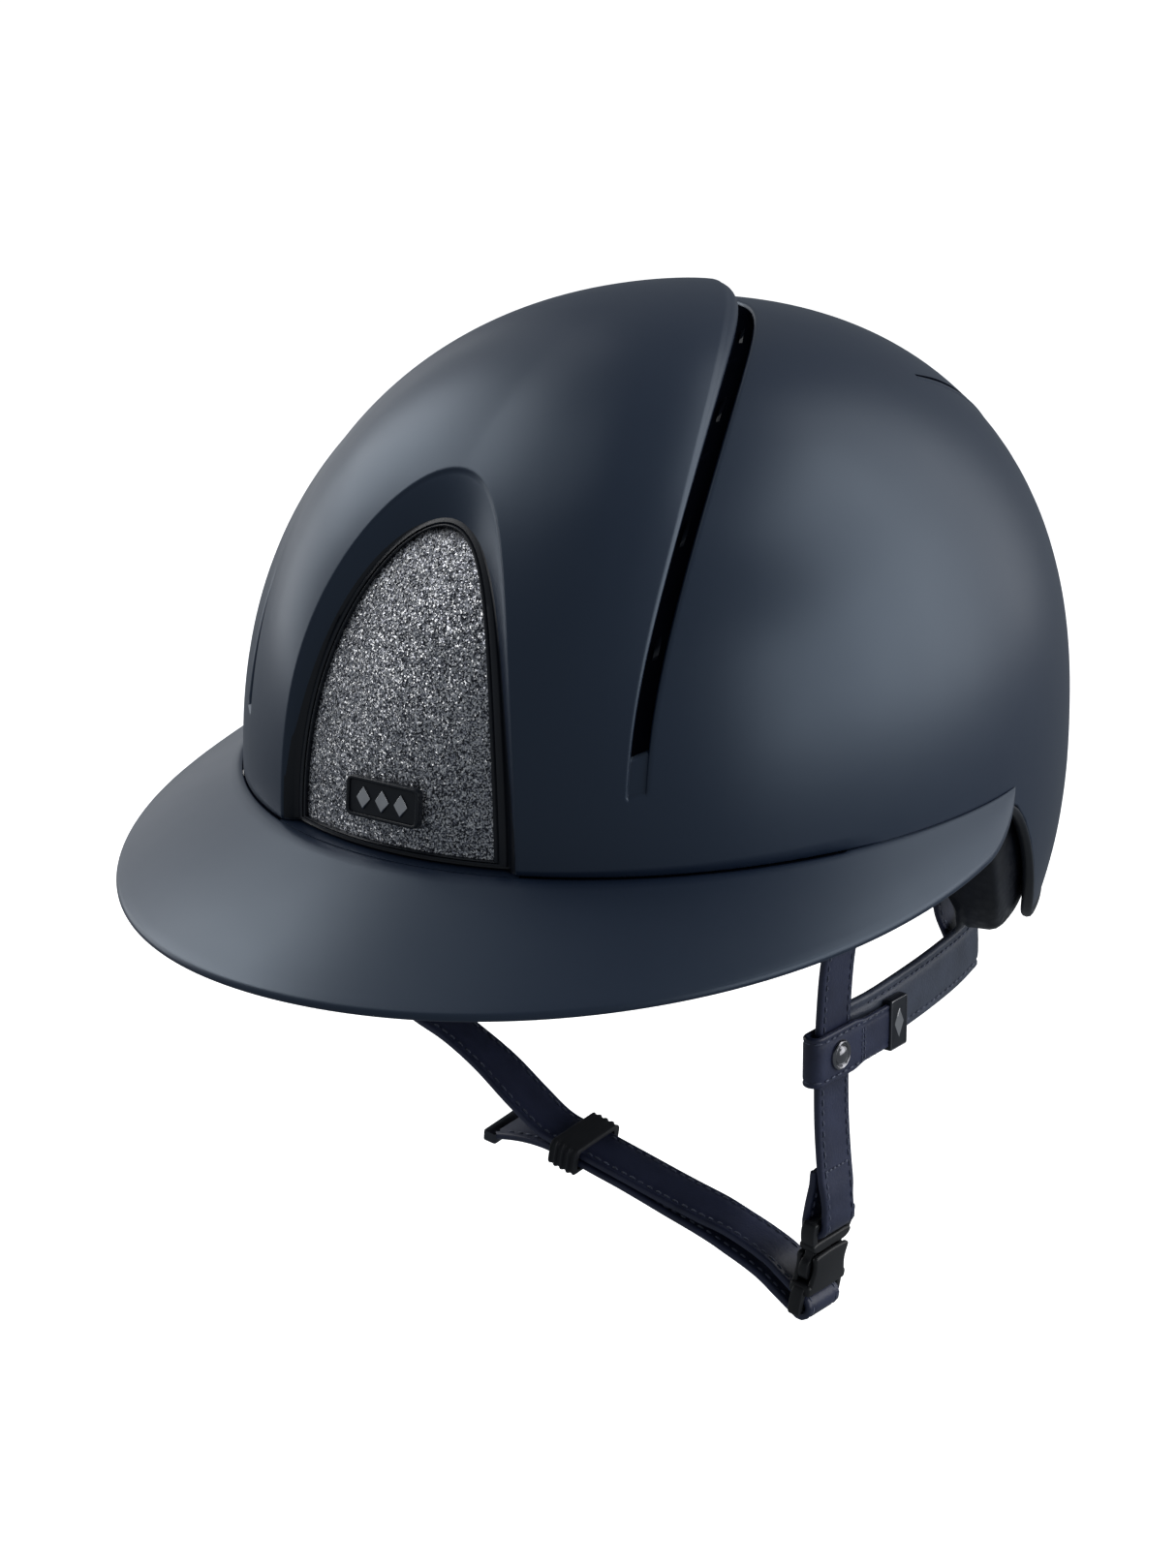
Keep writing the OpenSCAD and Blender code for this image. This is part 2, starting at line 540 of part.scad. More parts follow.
// The cap: a shallow dome on a short socket that presses over the stud
module snap_cap() color(bright_metal) translate([tab_out_x - tab_t / 2 + 0.1, snap_y, tab_z])
    rotate([0, 90, 0]) {
    difference() {
        cylinder(r = 2.4, h = tab_t, $fn = 32);
        translate([0, 0, -1]) cylinder(r = 1.9, h = tab_t + 0.4, $fn = 32);
    }
    translate([0, 0, tab_t]) cylinder(d = snap_d, h = 0.8, $fn = 48);
    translate([0, 0, tab_t + 0.8]) cylinder(d1 = snap_d - 0.6, d2 = snap_d - 4, h = 1, $fn = 48);
}
module snap_cap_left() on_side(true) snap_cap();
module snap_cap_right() on_side(false) snap_cap();
module tab_label() color(dark_trim) difference() {
    translate([tab_out_x - 1.4, leaf_end - 7, tab_z - tab_h / 2 - 0.7]) cube([2.8, 8, tab_h + 1.4]);
    translate([tab_out_x - tab_t / 2 - 0.02, leaf_end - 9, tab_z - tab_h / 2 - 0.02])
        cube([tab_t + 0.04, 9.02, tab_h + 0.04]);
}
module tab_label_left() on_side(true) tab_label();
module tab_label_right() on_side(false) tab_label();

// ---------------------------------------------------------------- buckle

// The buckle's own frame: its bar at the origin, the housing pulls off along -Z
buckle_tilt = 10;
module in_buckle() translate(bar) rotate([0, buckle_tilt, 0]) children();
buckle_w = 20;
housing_w = 17;
tongue_t = 3;
prong_y = 6.3;          // middle of each prong, from the buckle's axis
prong_root_z = -7.4;
prong_tip_z = -17.4;
housing_top_z = -8.8;
housing_foot_z = -21;
foot_t = 2.6;
low_bar_z = -26.6;
module tongue_body() {
    rotate([90, 0, 0]) translate([0, 0, -buckle_w / 2]) cylinder(r = bar_r, h = buckle_w, $fn = 32);
    for (s = [-1, 1]) translate([-bar_r, s * (buckle_w / 2 - 1.3) - 1.3, -5.6]) cube([2 * bar_r, 2.6, 5.6]);
    translate([-2.5, -buckle_w / 2, -7.2]) cube([5, buckle_w, 2.6]);
    translate([-tongue_t / 2, -1.9, prong_tip_z]) cube([tongue_t, 3.8, -6 - prong_tip_z]);
}
module buckle_tongue() color(dark_plastic) in_buckle() difference() {
    tongue_body();
    for (s = [-1, 1]) translate([-4, s * prong_y, prong_root_z]) rotate([0, 90, 0])
        cylinder(r = 1.7, h = 8, $fn = 32);
}

// A springy side arm with a thumb pad that shows at the side of the housing
module prong(s) color(dark_plastic) in_buckle() {
    translate([-tongue_t / 2, s * prong_y, prong_root_z]) rotate([0, 90, 0])
        cylinder(r = 1.6, h = tongue_t, $fn = 32);
    translate([-tongue_t / 2, s * prong_y - 1.2, prong_tip_z])
        cube([tongue_t, 2.4, prong_root_z - prong_tip_z]);
    translate([-tongue_t / 2, s > 0 ? prong_y : -prong_y - 3.4, prong_tip_z + 1.5])
        cube([tongue_t, 3.4, 4.5]);
}
module prong_front() prong(-1);
module prong_rear() prong(1);

// Two plates joined at their foot, with a bar for the chin strap below
low_bar_w = strap_w + 5.4;
module buckle_housing() color(dark_plastic) in_buckle() {
    for (s = [-1, 1]) translate([s * 2.6 - 0.75, -housing_w / 2, housing_foot_z])
        cube([1.5, housing_w, housing_top_z - housing_foot_z]);
    translate([-3.35, -housing_w / 2, housing_foot_z]) cube([6.7, housing_w, foot_t]);
    for (s = [-1, 1]) translate([-1.6, s * (low_bar_w / 2 - 1.2) - 1.2, low_bar_z])
        cube([3.2, 2.4, housing_foot_z + foot_t - low_bar_z]);
    for (s = [-1, 1]) translate([-1.6, s > 0 ? housing_w / 2 - 1 : -low_bar_w / 2, housing_foot_z])
        cube([3.2, low_bar_w / 2 - housing_w / 2 + 1, foot_t]);
    rotate([90, 0, 0]) translate([0, low_bar_z, -low_bar_w / 2]) cylinder(r = 1.6, h = low_bar_w, $fn = 32);
}

// ---------------------------------------------------------------- chin strap

// The chin strap runs from the right rivet, under the chin, to the housing's bar. It
// turns back round the bar, and its free end passes through the keeper.
low_bar = bar + [sin(buckle_tilt) * low_bar_z, 0, cos(buckle_tilt) * low_bar_z];
turn_r = 1.6 + strap_t / 2 + 0.3;
joint_x = 9;                       // where the rigid halves of the strap meet
keeper_x = -9;
slope = -0.24;                     // dz by dx of the straight stretch through the keeper
level = -120;                      // height of the strap at the keeper
function on_line(x, drop) = [x, pivot[1], level + slope * (x - keeper_x) - drop];
chin_twist = 6;
lean = unit([0.38 * sin(chin_twist), cos(chin_twist), 0.92 * sin(chin_twist)]);
right_route = [[-84, -14], [-80.6, -28], [-77.2, -44], [-75.8, -60], [-75.6, -73], [-75.2, -82],
    [-72, -88.5], [-64.5, -92.6], [-54, -96.4], [-41.2, -103], [-29, -111.4]];
chin_path = concat(curve([for (p = right_route) upright(p)], 3),
    [on_line(-19, 0), on_line(-9, 0), on_line(0, 0), on_line(joint_x, 0)]);
function chin_wide(n, plain) =
    [for (i = [0:n - 1]) unit(across + (lean - across) * smooth((i - plain) / 8))];
module chin_strap() color(leather_navy) difference() {
    union() {
        strap(chin_path, chin_wide(len(chin_path), 12));
        translate([-pivot[0] - strap_t / 2, pivot[1], pivot[2]]) rotate([0, 90, 0])
            cylinder(r = strap_w / 2, h = strap_t - 0.01, $fn = 48);
    }
    translate([-pivot[0] - 4, pivot[1], pivot[2]]) rotate([0, 90, 0])
        cylinder(r = pivot_r + 0.08, h = 8, $fn = 32);
}

layer_drop = strap_t + 0.5;        // the free end lies this far under the strap
tail_start = on_line(joint_x, layer_drop);
end_gap = 1.2;
turn = [for (a = [100:-34:-104]) [low_bar[0] + turn_r * cos(a), pivot[1], low_bar[2] + turn_r * sin(a)]];
end_path = concat(
    [on_line(joint_x + end_gap, 0), on_line(24, 0)],
        [upright([44, -132.4]), upright([58, -137.4]), upright([64.5, -142])], turn,
    [upright([56, -144.8]), upright([42, -138.2])],
        [on_line(24, layer_drop + 1.2), on_line(joint_x + end_gap, layer_drop)]);
end_wide = [for (i = [0:len(end_path) - 1])
    unit(lean + (across - lean) * smooth(i / 3) * smooth((len(end_path) - 1 - i) / 3))];
module chin_strap_end() color(leather_navy) strap(end_path, end_wide);

tail_path = [tail_start, on_line(0, layer_drop), on_line(-9, layer_drop), on_line(-18, layer_drop + 0.4),
    [-27, pivot[1], -120.9], [-36, pivot[1], -122.2]];
module chin_tail() color(leather_navy) strap(tail_path, [for (p = tail_path) lean], strap_w - 1, strap_t);
module tail_tip() color(bright_metal) translate([-38.4, pivot[1], -122.8])
    rotate([-chin_twist + 90, 6, 0]) translate([0, 0, -8])
    cube([3.6, 3, 16], center = false);

// A ribbed rubber loop that slides along both layers
keeper_l = 9;
module in_keeper() translate(on_line(keeper_x, layer_drop / 2)) rotate([0, atan(-slope), 0])
    rotate([chin_twist, 0, 0]) children();
module strap_keeper() color(dark_plastic) in_keeper() difference() {
    union() {
        cube([keeper_l, strap_w + 5, 2 * strap_t + 4.4], center = true);
        for (k = [-1.5:1.5], s = [-1, 1]) translate([k * 2.2, s * (strap_w / 2 + 2.5), 0])
            cylinder(r = 0.9, h = 2 * strap_t + 4.4, center = true, $fn = 24);
    }
    cube([keeper_l + 2, strap_w + 1, 2 * strap_t + 1.6], center = true);
}

outer_shell();
rim_binding();
brim();
brim_gasket();
brim_screws();
panel_frame();
front_panel();
badge_plate();
badge_emblem();
crown_grille();
rear_grille_left();
rear_grille_right();
impact_liner();
crown_pad();
headband_pad();
nape_pad();
front_hanger_left();
front_hanger_right();
pivot_rivet_left();
pivot_rivet_right();
rear_hanger_left();
rear_hanger_right();
hanger_rivets();
rear_strap_left();
rear_strap_right();
front_strap_left();
tab_loop_left();
tab_loop_right();
snap_stud_left();
snap_stud_right();
tab_leaf_left();
tab_leaf_right();
snap_cap_left();
snap_cap_right();
tab_label_left();
tab_label_right();
buckle_tongue();
prong_front();
prong_rear();
buckle_housing();
chin_strap();
chin_strap_end();
chin_tail();
tail_tip();
strap_keeper();
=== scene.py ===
import math

import bmesh
import bpy
import numpy as np
from mathutils import Matrix, Vector


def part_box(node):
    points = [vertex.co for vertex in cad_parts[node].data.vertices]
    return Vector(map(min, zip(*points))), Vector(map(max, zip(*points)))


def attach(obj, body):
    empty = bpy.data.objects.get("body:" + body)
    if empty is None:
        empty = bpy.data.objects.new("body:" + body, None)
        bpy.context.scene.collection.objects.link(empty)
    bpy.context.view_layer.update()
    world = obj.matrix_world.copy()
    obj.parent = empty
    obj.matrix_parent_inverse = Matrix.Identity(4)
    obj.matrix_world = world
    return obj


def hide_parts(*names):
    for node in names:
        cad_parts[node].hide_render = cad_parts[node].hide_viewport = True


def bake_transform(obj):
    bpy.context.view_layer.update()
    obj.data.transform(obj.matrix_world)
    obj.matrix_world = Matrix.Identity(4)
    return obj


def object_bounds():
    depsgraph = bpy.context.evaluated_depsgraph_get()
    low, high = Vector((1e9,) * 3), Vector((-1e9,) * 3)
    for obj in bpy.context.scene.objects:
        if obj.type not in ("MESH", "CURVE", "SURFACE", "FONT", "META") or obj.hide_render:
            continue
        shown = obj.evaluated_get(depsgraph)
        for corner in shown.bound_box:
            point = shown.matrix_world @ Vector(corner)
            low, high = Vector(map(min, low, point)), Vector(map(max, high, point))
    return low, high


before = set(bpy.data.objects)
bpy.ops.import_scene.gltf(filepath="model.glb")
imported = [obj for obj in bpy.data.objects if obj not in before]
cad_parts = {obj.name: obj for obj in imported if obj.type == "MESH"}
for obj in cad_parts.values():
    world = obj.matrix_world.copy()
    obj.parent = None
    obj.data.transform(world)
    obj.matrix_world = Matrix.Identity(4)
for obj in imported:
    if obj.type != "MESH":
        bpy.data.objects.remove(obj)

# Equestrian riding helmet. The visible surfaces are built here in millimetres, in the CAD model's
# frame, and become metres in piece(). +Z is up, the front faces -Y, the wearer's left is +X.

cad_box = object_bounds()
scene = bpy.context.scene
MM = 0.001


def box_mm(node):
    """Lowest and highest corner of a CAD node, in millimetres."""
    lo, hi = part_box(node)
    return np.array(lo) / MM, np.array(hi) / MM


# ---------------------------------------------------------------- sizes, in millimetres

HALF_W = round(box_mm("outer_shell")[1][0])
HALF_L = round(box_mm("outer_shell")[1][1])
HEIGHT = 121.0
POWER = 2.31            # roundness of the dome's upright sections
SHELL_T = 3.0
RIM_FRONT, RIM_REAR = -4.0, -50.0
EAR_FRONT, EAR_REAR = 94.0, 114.0
IMPACT_OUT, IMPACT_IN = -4.5, -22.5
PAD_OUT, PAD_IN = -24.0, -29.5
WINDOW = (39.0, 95.0)   # half width and height of the recess at the shell's surface
RECESS = (37.0, 86.4)   # the same at the recess's foot
FRAME = (36.6, 86.0)
PANEL = (31.4, 82.6)
PANEL_FOOT = 0.2
PANEL_DEPTH, PANEL_T = 4.6, 1.6
RECESS_FLOOR = 6.8      # depth of the recess's floor
POCKET = (41.0, 97.0)   # half width and height of the room behind the recess, in shell and foam


def smooth(t):
    t = np.clip(t, 0.0, 1.0)
    return t * t * (3 - 2 * t)


def unit(v):
    v = np.asarray(v, float)
    return v / np.maximum(np.linalg.norm(v, axis=-1, keepdims=True), 1e-12)


def signed_pow(v, e):
    return np.sign(v) * np.abs(v) ** e


# ---------------------------------------------------------------- the dome

def dome(th, ph, off=0.0):
    """Point of the dome: th runs round from the front over the left, ph down from the crown."""
    th, ph = np.radians(th), np.radians(ph)
    r = np.abs(np.sin(ph)) ** (2 / POWER)
    z = signed_pow(np.cos(ph), 2 / POWER)
    return np.stack([(HALF_W + off) * np.sin(th) * r, -(HALF_L + off) * np.cos(th) * r,
                     (HEIGHT + off) * z + 0 * th], -1)


def ph_at(z, off=0.0):
    """Angle down from the crown at which the dome reaches the height z."""
    return np.degrees(np.arccos(np.clip(signed_pow(z / (HEIGHT + off), POWER / 2), -1, 1)))


def dome_normal(th, ph):
    d = 0.2
    ph = np.maximum(ph, 0.5)
    return unit(np.cross(dome(th, ph + d) - dome(th, ph - d), dome(th + d, ph) - dome(th - d, ph)))


def swept(alpha, roll):
    """Point of the dome: alpha is the angle from the front, roll the angle from upright."""
    a, r = np.radians(alpha), np.radians(roll)
    d = np.stack([np.sin(a) * np.sin(r), -np.cos(a) + 0 * r, np.sin(a) * np.cos(r)], -1)
    flat = (d[..., 0] ** 2 + d[..., 1] ** 2) ** (POWER / 2)
    reach = (flat + np.abs(d[..., 2]) ** POWER) ** (-1 / POWER)
    return d * reach[..., None] * np.array([HALF_W, HALF_L, HEIGHT])


def surface_normal(p):
    """Outward normal of the dome at the point p."""
    q = p / np.array([HALF_W, HALF_L, HEIGHT])
    flat = np.maximum(q[..., 0] ** 2 + q[..., 1] ** 2, 1e-12) ** (POWER / 2 - 1)
    g = np.stack([flat * q[..., 0], flat * q[..., 1], signed_pow(q[..., 2], POWER - 1)], -1)
    return unit(g / np.array([HALF_W, HALF_L, HEIGHT]))


def rim_z(th):
    return RIM_FRONT + (RIM_REAR - RIM_FRONT) * smooth((np.abs(th) - EAR_FRONT) / (EAR_REAR - EAR_FRONT))


def liner_z(th):
    """Lower edge of the liners, which reach further forward at the ears than the shell."""
    return -1.0 - 50.0 * smooth((np.abs(th) - EAR_FRONT + 8) / (EAR_REAR - EAR_FRONT))


def front_y(x, z, depth):
    """Place along Y of the dome's front at (x, z), a depth below the surface."""
    k = (1 - (z / (HEIGHT - depth)) ** POWER) ** (2 / POWER)
    return -(HALF_L - depth) * np.sqrt(k - (x / (HALF_W - depth)) ** 2)


def front_point(x, z, depth):
    return np.array([x, front_y(x, z, depth), z])


# The scoop's rear edge is an arch from one temple over the crown to the other
SCOOP_RISE, LIP_FALL = 8.0, 2.0
SLOT_W, SLOT_DEPTH = 4.6, 4.2
SLOT_ROLL, GROOVE_ROLL = 66.0, 73.5


def scoop_alpha(roll):
    """Angle from the front at which the scoop's rear edge lies."""
    return 34.6 + 67 * np.exp(-(np.abs(roll) / 34.7) ** 1.63)


def scoop_lift(alpha, roll):
    """How far the scoop stands above the dome."""
    share = alpha / scoop_alpha(roll)
    rise = SCOOP_RISE * smooth((share - 0.3) / 0.5) - LIP_FALL * (np.maximum(0, share - 0.85) / 0.15) ** 2
    return np.exp(-(roll / 38.5) ** 2) * rise


# ---------------------------------------------------------------- pieces from points

def piece(name, verts, faces, materials, face_material=None, weld=0.0, sharp=None):
    """A mesh object from points in millimetres, with its normals outward."""
    mesh = bpy.data.meshes.new(name)
    points = (np.asarray(verts, float) * MM).tolist()
    mesh.from_pydata(points, [], [tuple(int(i) for i in f) for f in faces])
    for m in materials:
        mesh.materials.append(m)
    if face_material is not None:
        mesh.polygons.foreach_set("material_index", np.asarray(face_material, int).tolist())
    bm = bmesh.new()
    bm.from_mesh(mesh)
    if weld:
        bmesh.ops.remove_doubles(bm, verts=bm.verts, dist=weld * MM)
        bmesh.ops.dissolve_degenerate(bm, edges=bm.edges, dist=weld * MM * 0.5)
    bmesh.ops.recalc_face_normals(bm, faces=bm.faces)
    for f in bm.faces:
        f.smooth = True
    if sharp is not None:
        for e in bm.edges:
            e.smooth = len(e.link_faces) == 2 and e.calc_face_angle(0) < math.radians(sharp)
    bm.to_mesh(mesh)
    bm.free()
    obj = bpy.data.objects.new(name, mesh)
    scene.collection.objects.link(obj)
    return obj


def grid_faces(rows, cols, wrap=False, start=0):
    i = np.arange(rows - 1)[:, None] * cols
    j = np.arange(cols if wrap else cols - 1)[None, :]
    k = (j + 1) % cols
    return (np.stack([i + j, i + k, i + cols + k, i + cols + j], -1).reshape(-1, 4) + start).tolist()


def tube(rings, loop=False, start=0):
    """Faces of a closed solid along matching closed rings."""
    n, k = rings.shape[:2]
    faces = grid_faces(n, k, wrap=True, start=start)
    if loop:
        last, first = start + (n - 1) * k, start
        faces += [[last + j, last + (j + 1) % k, first + (j + 1) % k, first + j] for j in range(k)]
    else:
        faces += [list(range(start, start + k)), list(range(start + (n - 1) * k, start + n * k))]
    return faces


def closed_layer(outer, inner, wrap, pole):
    """A closed solid between two point grids of the same size."""
    rows, cols = outer.shape[:2]
    total = rows * cols
    faces = grid_faces(rows, cols, wrap) + grid_faces(rows, cols, wrap, total)
    side = range(cols if wrap else cols - 1)
    ends = [rows - 1] if pole else [0, rows - 1]
    for i in ends:
        near, far = i * cols, total + i * cols
        faces += [[near + j, near + (j + 1) % cols, far + (j + 1) % cols, far + j] for j in side]
    if not wrap:
        for j in (0, cols - 1):
            faces += [[i * cols + j, (i + 1) * cols + j, total + (i + 1) * cols + j, total + i * cols + j]
                      for i in range(rows - 1)]
    return np.concatenate([outer.reshape(-1, 3), inner.reshape(-1, 3)]), faces


def join(name, parts):
    """One object from several."""
    bpy.ops.object.select_all(action="DESELECT")
    for p in parts:
        p.select_set(True)
    bpy.context.view_layer.objects.active = parts[0]
    if len(parts) > 1:
        bpy.ops.object.join()
    parts[0].name = name
    parts[0].data.name = name
    return parts[0]


def bevelled(name, outline, low, high, bevel, material, place):
    """An outline extruded from low to high, with rounded edges, moved by place."""
    n = len(outline)
    verts = [(x, y, low) for x, y in outline] + [(x, y, high) for x, y in outline]
    faces = [list(range(n)), list(range(n, 2 * n))]
    faces += [[i, (i + 1) % n, n + (i + 1) % n, n + i] for i in range(n)]
    bm = bmesh.new()
    points = [bm.verts.new(v) for v in verts]
    for f in faces:
        bm.faces.new([points[i] for i in f])
    bmesh.ops.recalc_face_normals(bm, faces=bm.faces)
    rim = [e for e in bm.edges if e.verts[0].co.z == e.verts[1].co.z]
    bmesh.ops.bevel(bm, geom=rim, offset=bevel, segments=3, profile=0.5, affect="EDGES", clamp_overlap=True)
    bm.transform(place)
    bm.transform(Matrix.Scale(MM, 4))
    for f in bm.faces:
        f.smooth = True
    for e in bm.edges:
        e.smooth = len(e.link_faces) == 2 and e.calc_face_angle(0) < math.radians(50)
    mesh = bpy.data.meshes.new(name)
    bm.to_mesh(mesh)
    bm.free()
    mesh.materials.append(material)
    obj = bpy.data.objects.new(name, mesh)
    scene.collection.objects.link(obj)
    return obj


def rounded(half_x, half_y, r, steps=6):
    """Points of a rectangle with round corners."""
    points = []
    for k, (sx, sy) in enumerate([(1, 1), (-1, 1), (-1, -1), (1, -1)]):
        for s in range(steps + 1):
            a = math.radians(90 * (k + s / steps))
            points.append((sx * (half_x - r) + r * math.cos(a), sy * (half_y - r) + r * math.sin(a)))
    return points


def put(points, place):
    """Points moved by a matrix."""
    m = np.array(place)
    return points @ m[:3, :3].T + m[:3, 3]


def border(outer, inner, section, place):
    """Rings of a raised border: section gives shares from outer to inner, with their heights."""
    rings = [[(xo + (xi - xo) * t, yo + (yi - yo) * t, h) for t, h in section]
             for (xo, yo), (xi, yi) in zip(outer, inner)]
    return put(np.array(rings), place)


def lathe(name, profile, place, material, steps=48):
    """A turned solid from (radius, height) points, about the local Z of place."""
    a = np.radians(np.arange(steps) * 360 / steps)
    rings = np.array([np.stack([r * np.cos(a), r * np.sin(a), h + 0 * a], -1) for r, h in profile])
    return piece(name, put(rings.reshape(-1, 3), place), tube(rings), [material], sharp=40)


def catmull(points, steps):
    """A smooth curve through the points."""
    p = np.asarray(points, float)
    q = np.concatenate([[2 * p[0] - p[1]], p, [2 * p[-1] - p[-2]]])
    out = []
    for i in range(len(p) - 1):
        for s in range(steps):
            t = s / steps
            a, b, c, d = q[i], q[i + 1], q[i + 2], q[i + 3]
            curve = 2 * b + (c - a) * t + (2 * a - 5 * b + 4 * c - d) * t * t
            out.append(0.5 * (curve + (3 * b - a - 3 * c + d) * t ** 3))
    return np.array(out + [p[-1]])


def even(path, spacing):
    """The path's points, spread evenly, and how far each lies along it."""
    gone = np.concatenate([[0], np.cumsum(np.linalg.norm(np.diff(path, axis=0), axis=1))])
    n = max(2, int(round(gone[-1] / spacing)) + 1)
    at = np.linspace(0, gone[-1], n)
    return np.stack([np.interp(at, gone, path[:, k]) for k in range(3)], -1), at


# ---------------------------------------------------------------- materials

def shader(name, color, roughness, metallic=0.0, specular=0.5, sheen=0.0):
    """A principled material, with its tree and its shader node."""
    m = bpy.data.materials.new(name)
    m.use_nodes = True
    nodes = m.node_tree.nodes
    b = nodes["Principled BSDF"]
    b.inputs["Base Color"].default_value = (*color, 1)
    b.inputs["Roughness"].default_value = roughness
    b.inputs["Metallic"].default_value = metallic
    b.inputs["Specular IOR Level"].default_value = specular
    b.inputs["Sheen Weight"].default_value = sheen
    return m, m.node_tree, b


def add(tree, kind, **values):
    node = tree.nodes.new(kind)
    for key, value in values.items():
        if key in node.inputs:
            node.inputs[key].default_value = value
        else:
            setattr(node, key, value)
    return node


def texture(tree, kind, scale, **values):
    """A texture over the object's own coordinates, in metres."""
    where = next((n for n in tree.nodes if n.bl_idname == "ShaderNodeTexCoord"), None)
    where = where or add(tree, "ShaderNodeTexCoord")
    t = add(tree, kind, Scale=scale, **values)
    tree.links.new(where.outputs["Object"], t.inputs["Vector"])
    return t


def ramp(tree, source, stops):
    r = add(tree, "ShaderNodeValToRGB")
    e = r.color_ramp.elements
    while len(e) < len(stops):
        e.new(0.5)
    for k, (at, color) in enumerate(stops):
        e[k].position = at
        e[k].color = (*color, 1) if len(color) == 3 else color
    tree.links.new(source, r.inputs["Fac"])
    return r


def spread(tree, source, low, high):
    """source, from 0 to 1, spread between low and high."""
    r = add(tree, "ShaderNodeMapRange")
    r.inputs["To Min"].default_value = low
    r.inputs["To Max"].default_value = high
    tree.links.new(source, r.inputs["Value"])
    return r


def bump(tree, shade, heights):
    """Bumps from (socket, strength, distance in mm), chained."""
    last = None
    for source, strength, distance in heights:
        b = add(tree, "ShaderNodeBump", Strength=strength, Distance=distance * MM)
        tree.links.new(source, b.inputs["Height"])
        if last:
            tree.links.new(last.outputs["Normal"], b.inputs["Normal"])
        last = b
    tree.links.new(last.outputs["Normal"], shade.inputs["Normal"])


def mixed(color, share):
    return tuple(c * share for c in color)


def varied(tree, shade, color, scale, low, high, detail=4.0):
    """Colour that wanders a little between two shades."""
    n = texture(tree, "ShaderNodeTexNoise", scale, Detail=detail)
    r = ramp(tree, n.outputs["Fac"], [(0.3, mixed(color, low)), (0.7, mixed(color, high))])
    tree.links.new(r.outputs["Color"], shade.inputs["Base Color"])
    return n


def paint_material():
    """Soft-touch matt navy paint with a very fine grain."""
    color = (0.011, 0.020, 0.044)
    m, tree, b = shader("shell_paint", color, 0.36, specular=0.9)
    b.inputs["Specular Tint"].default_value = (0.7, 0.84, 1.0, 1)
    varied(tree, b, color, 14, 0.96, 1.04)
    fine = texture(tree, "ShaderNodeTexNoise", 2600, Detail=2.0)
    rough = texture(tree, "ShaderNodeTexNoise", 60, Detail=3.0)
    r = spread(tree, rough.outputs["Fac"], 0.33, 0.39)
    tree.links.new(r.outputs["Result"], b.inputs["Roughness"])
    bump(tree, b, [(fine.outputs["Fac"], 0.12, 0.05)])
    return m


def trim_material(name="dark_trim", color=(0.008, 0.011, 0.018), low=0.3, high=0.42, specular=0.5):
    """Moulded near-black plastic with a faint spark-eroded grain."""
    m, tree, b = shader(name, color, low, specular=specular)
    varied(tree, b, color, 40, 0.85, 1.15)
    fine = texture(tree, "ShaderNodeTexNoise", 1800, Detail=3.0)
    worn = texture(tree, "ShaderNodeTexNoise", 120, Detail=4.0)
    r = spread(tree, worn.outputs["Fac"], low, high)
    tree.links.new(r.outputs["Result"], b.inputs["Roughness"])
    bump(tree, b, [(fine.outputs["Fac"], 0.18, 0.06)])
    return m


def glitter_material():
    """Silver flakes of mixed size, each lying at its own slant, in a dark ground."""
    m, tree, b = shader("glitter", (0.3, 0.31, 0.34), 0.3, metallic=0.55)
    flakes = texture(tree, "ShaderNodeTexVoronoi", 2700)
    small = texture(tree, "ShaderNodeTexVoronoi", 3600)
    light = ramp(tree, flakes.outputs["Color"], [(0.26, (0.03, 0.032, 0.042)), (0.42, (0.17, 0.18, 0.215)),
                 (0.56, (0.66, 0.67, 0.74)), (0.66, (1.0, 1.0, 1.0))])
    dust = ramp(tree, small.outputs["Color"], [(0.3, (0.3, 0.31, 0.34)), (0.6, (1.0, 1.0, 1.0))])
    both = add(tree, "ShaderNodeMix", data_type="RGBA", blend_type="MULTIPLY")
    both.inputs["Factor"].default_value = 0.7
    tree.links.new(light.outputs["Color"], both.inputs["A"])
    tree.links.new(dust.outputs["Color"], both.inputs["B"])
    tree.links.new(both.outputs["Result"], b.inputs["Base Color"])
    relief = add(tree, "ShaderNodeBump", Strength=0.4, Distance=0.05 * MM)
    tree.links.new(small.outputs["Distance"], relief.inputs["Height"])
    centred = add(tree, "ShaderNodeVectorMath", operation="SUBTRACT")
    centred.inputs[1].default_value = (0.5, 0.5, 0.5)
    tree.links.new(flakes.outputs["Color"], centred.inputs[0])
    slant = add(tree, "ShaderNodeVectorMath", operation="SCALE", Scale=0.9)
    tree.links.new(centred.outputs["Vector"], slant.inputs[0])
    tilted = add(tree, "ShaderNodeVectorMath", operation="ADD")
    tree.links.new(relief.outputs["Normal"], tilted.inputs[0])
    tree.links.new(slant.outputs["Vector"], tilted.inputs[1])
    level = add(tree, "ShaderNodeVectorMath", operation="NORMALIZE")
    tree.links.new(tilted.outputs["Vector"], level.inputs[0])
    tree.links.new(level.outputs["Vector"], b.inputs["Normal"])
    return m


def leather_material(name="leather", color=(0.028, 0.035, 0.075), low=0.34, high=0.48):
    """Fine-grained dyed leather, a little lighter where it is rubbed."""
    m, tree, b = shader(name, color, low, specular=0.5)
    worn = varied(tree, b, color, 90, 0.8, 1.3, 6.0)
    grain = texture(tree, "ShaderNodeTexVoronoi", 1300, feature="SMOOTH_F1")
    crease = texture(tree, "ShaderNodeTexNoise", 320, Detail=5.0, Distortion=0.6)
    r = spread(tree, worn.outputs["Fac"], low, high)
    tree.links.new(r.outputs["Result"], b.inputs["Roughness"])
    bump(tree, b, [(grain.outputs["Distance"], 0.35, 0.12), (crease.outputs["Fac"], 0.3, 0.18)])
    return m


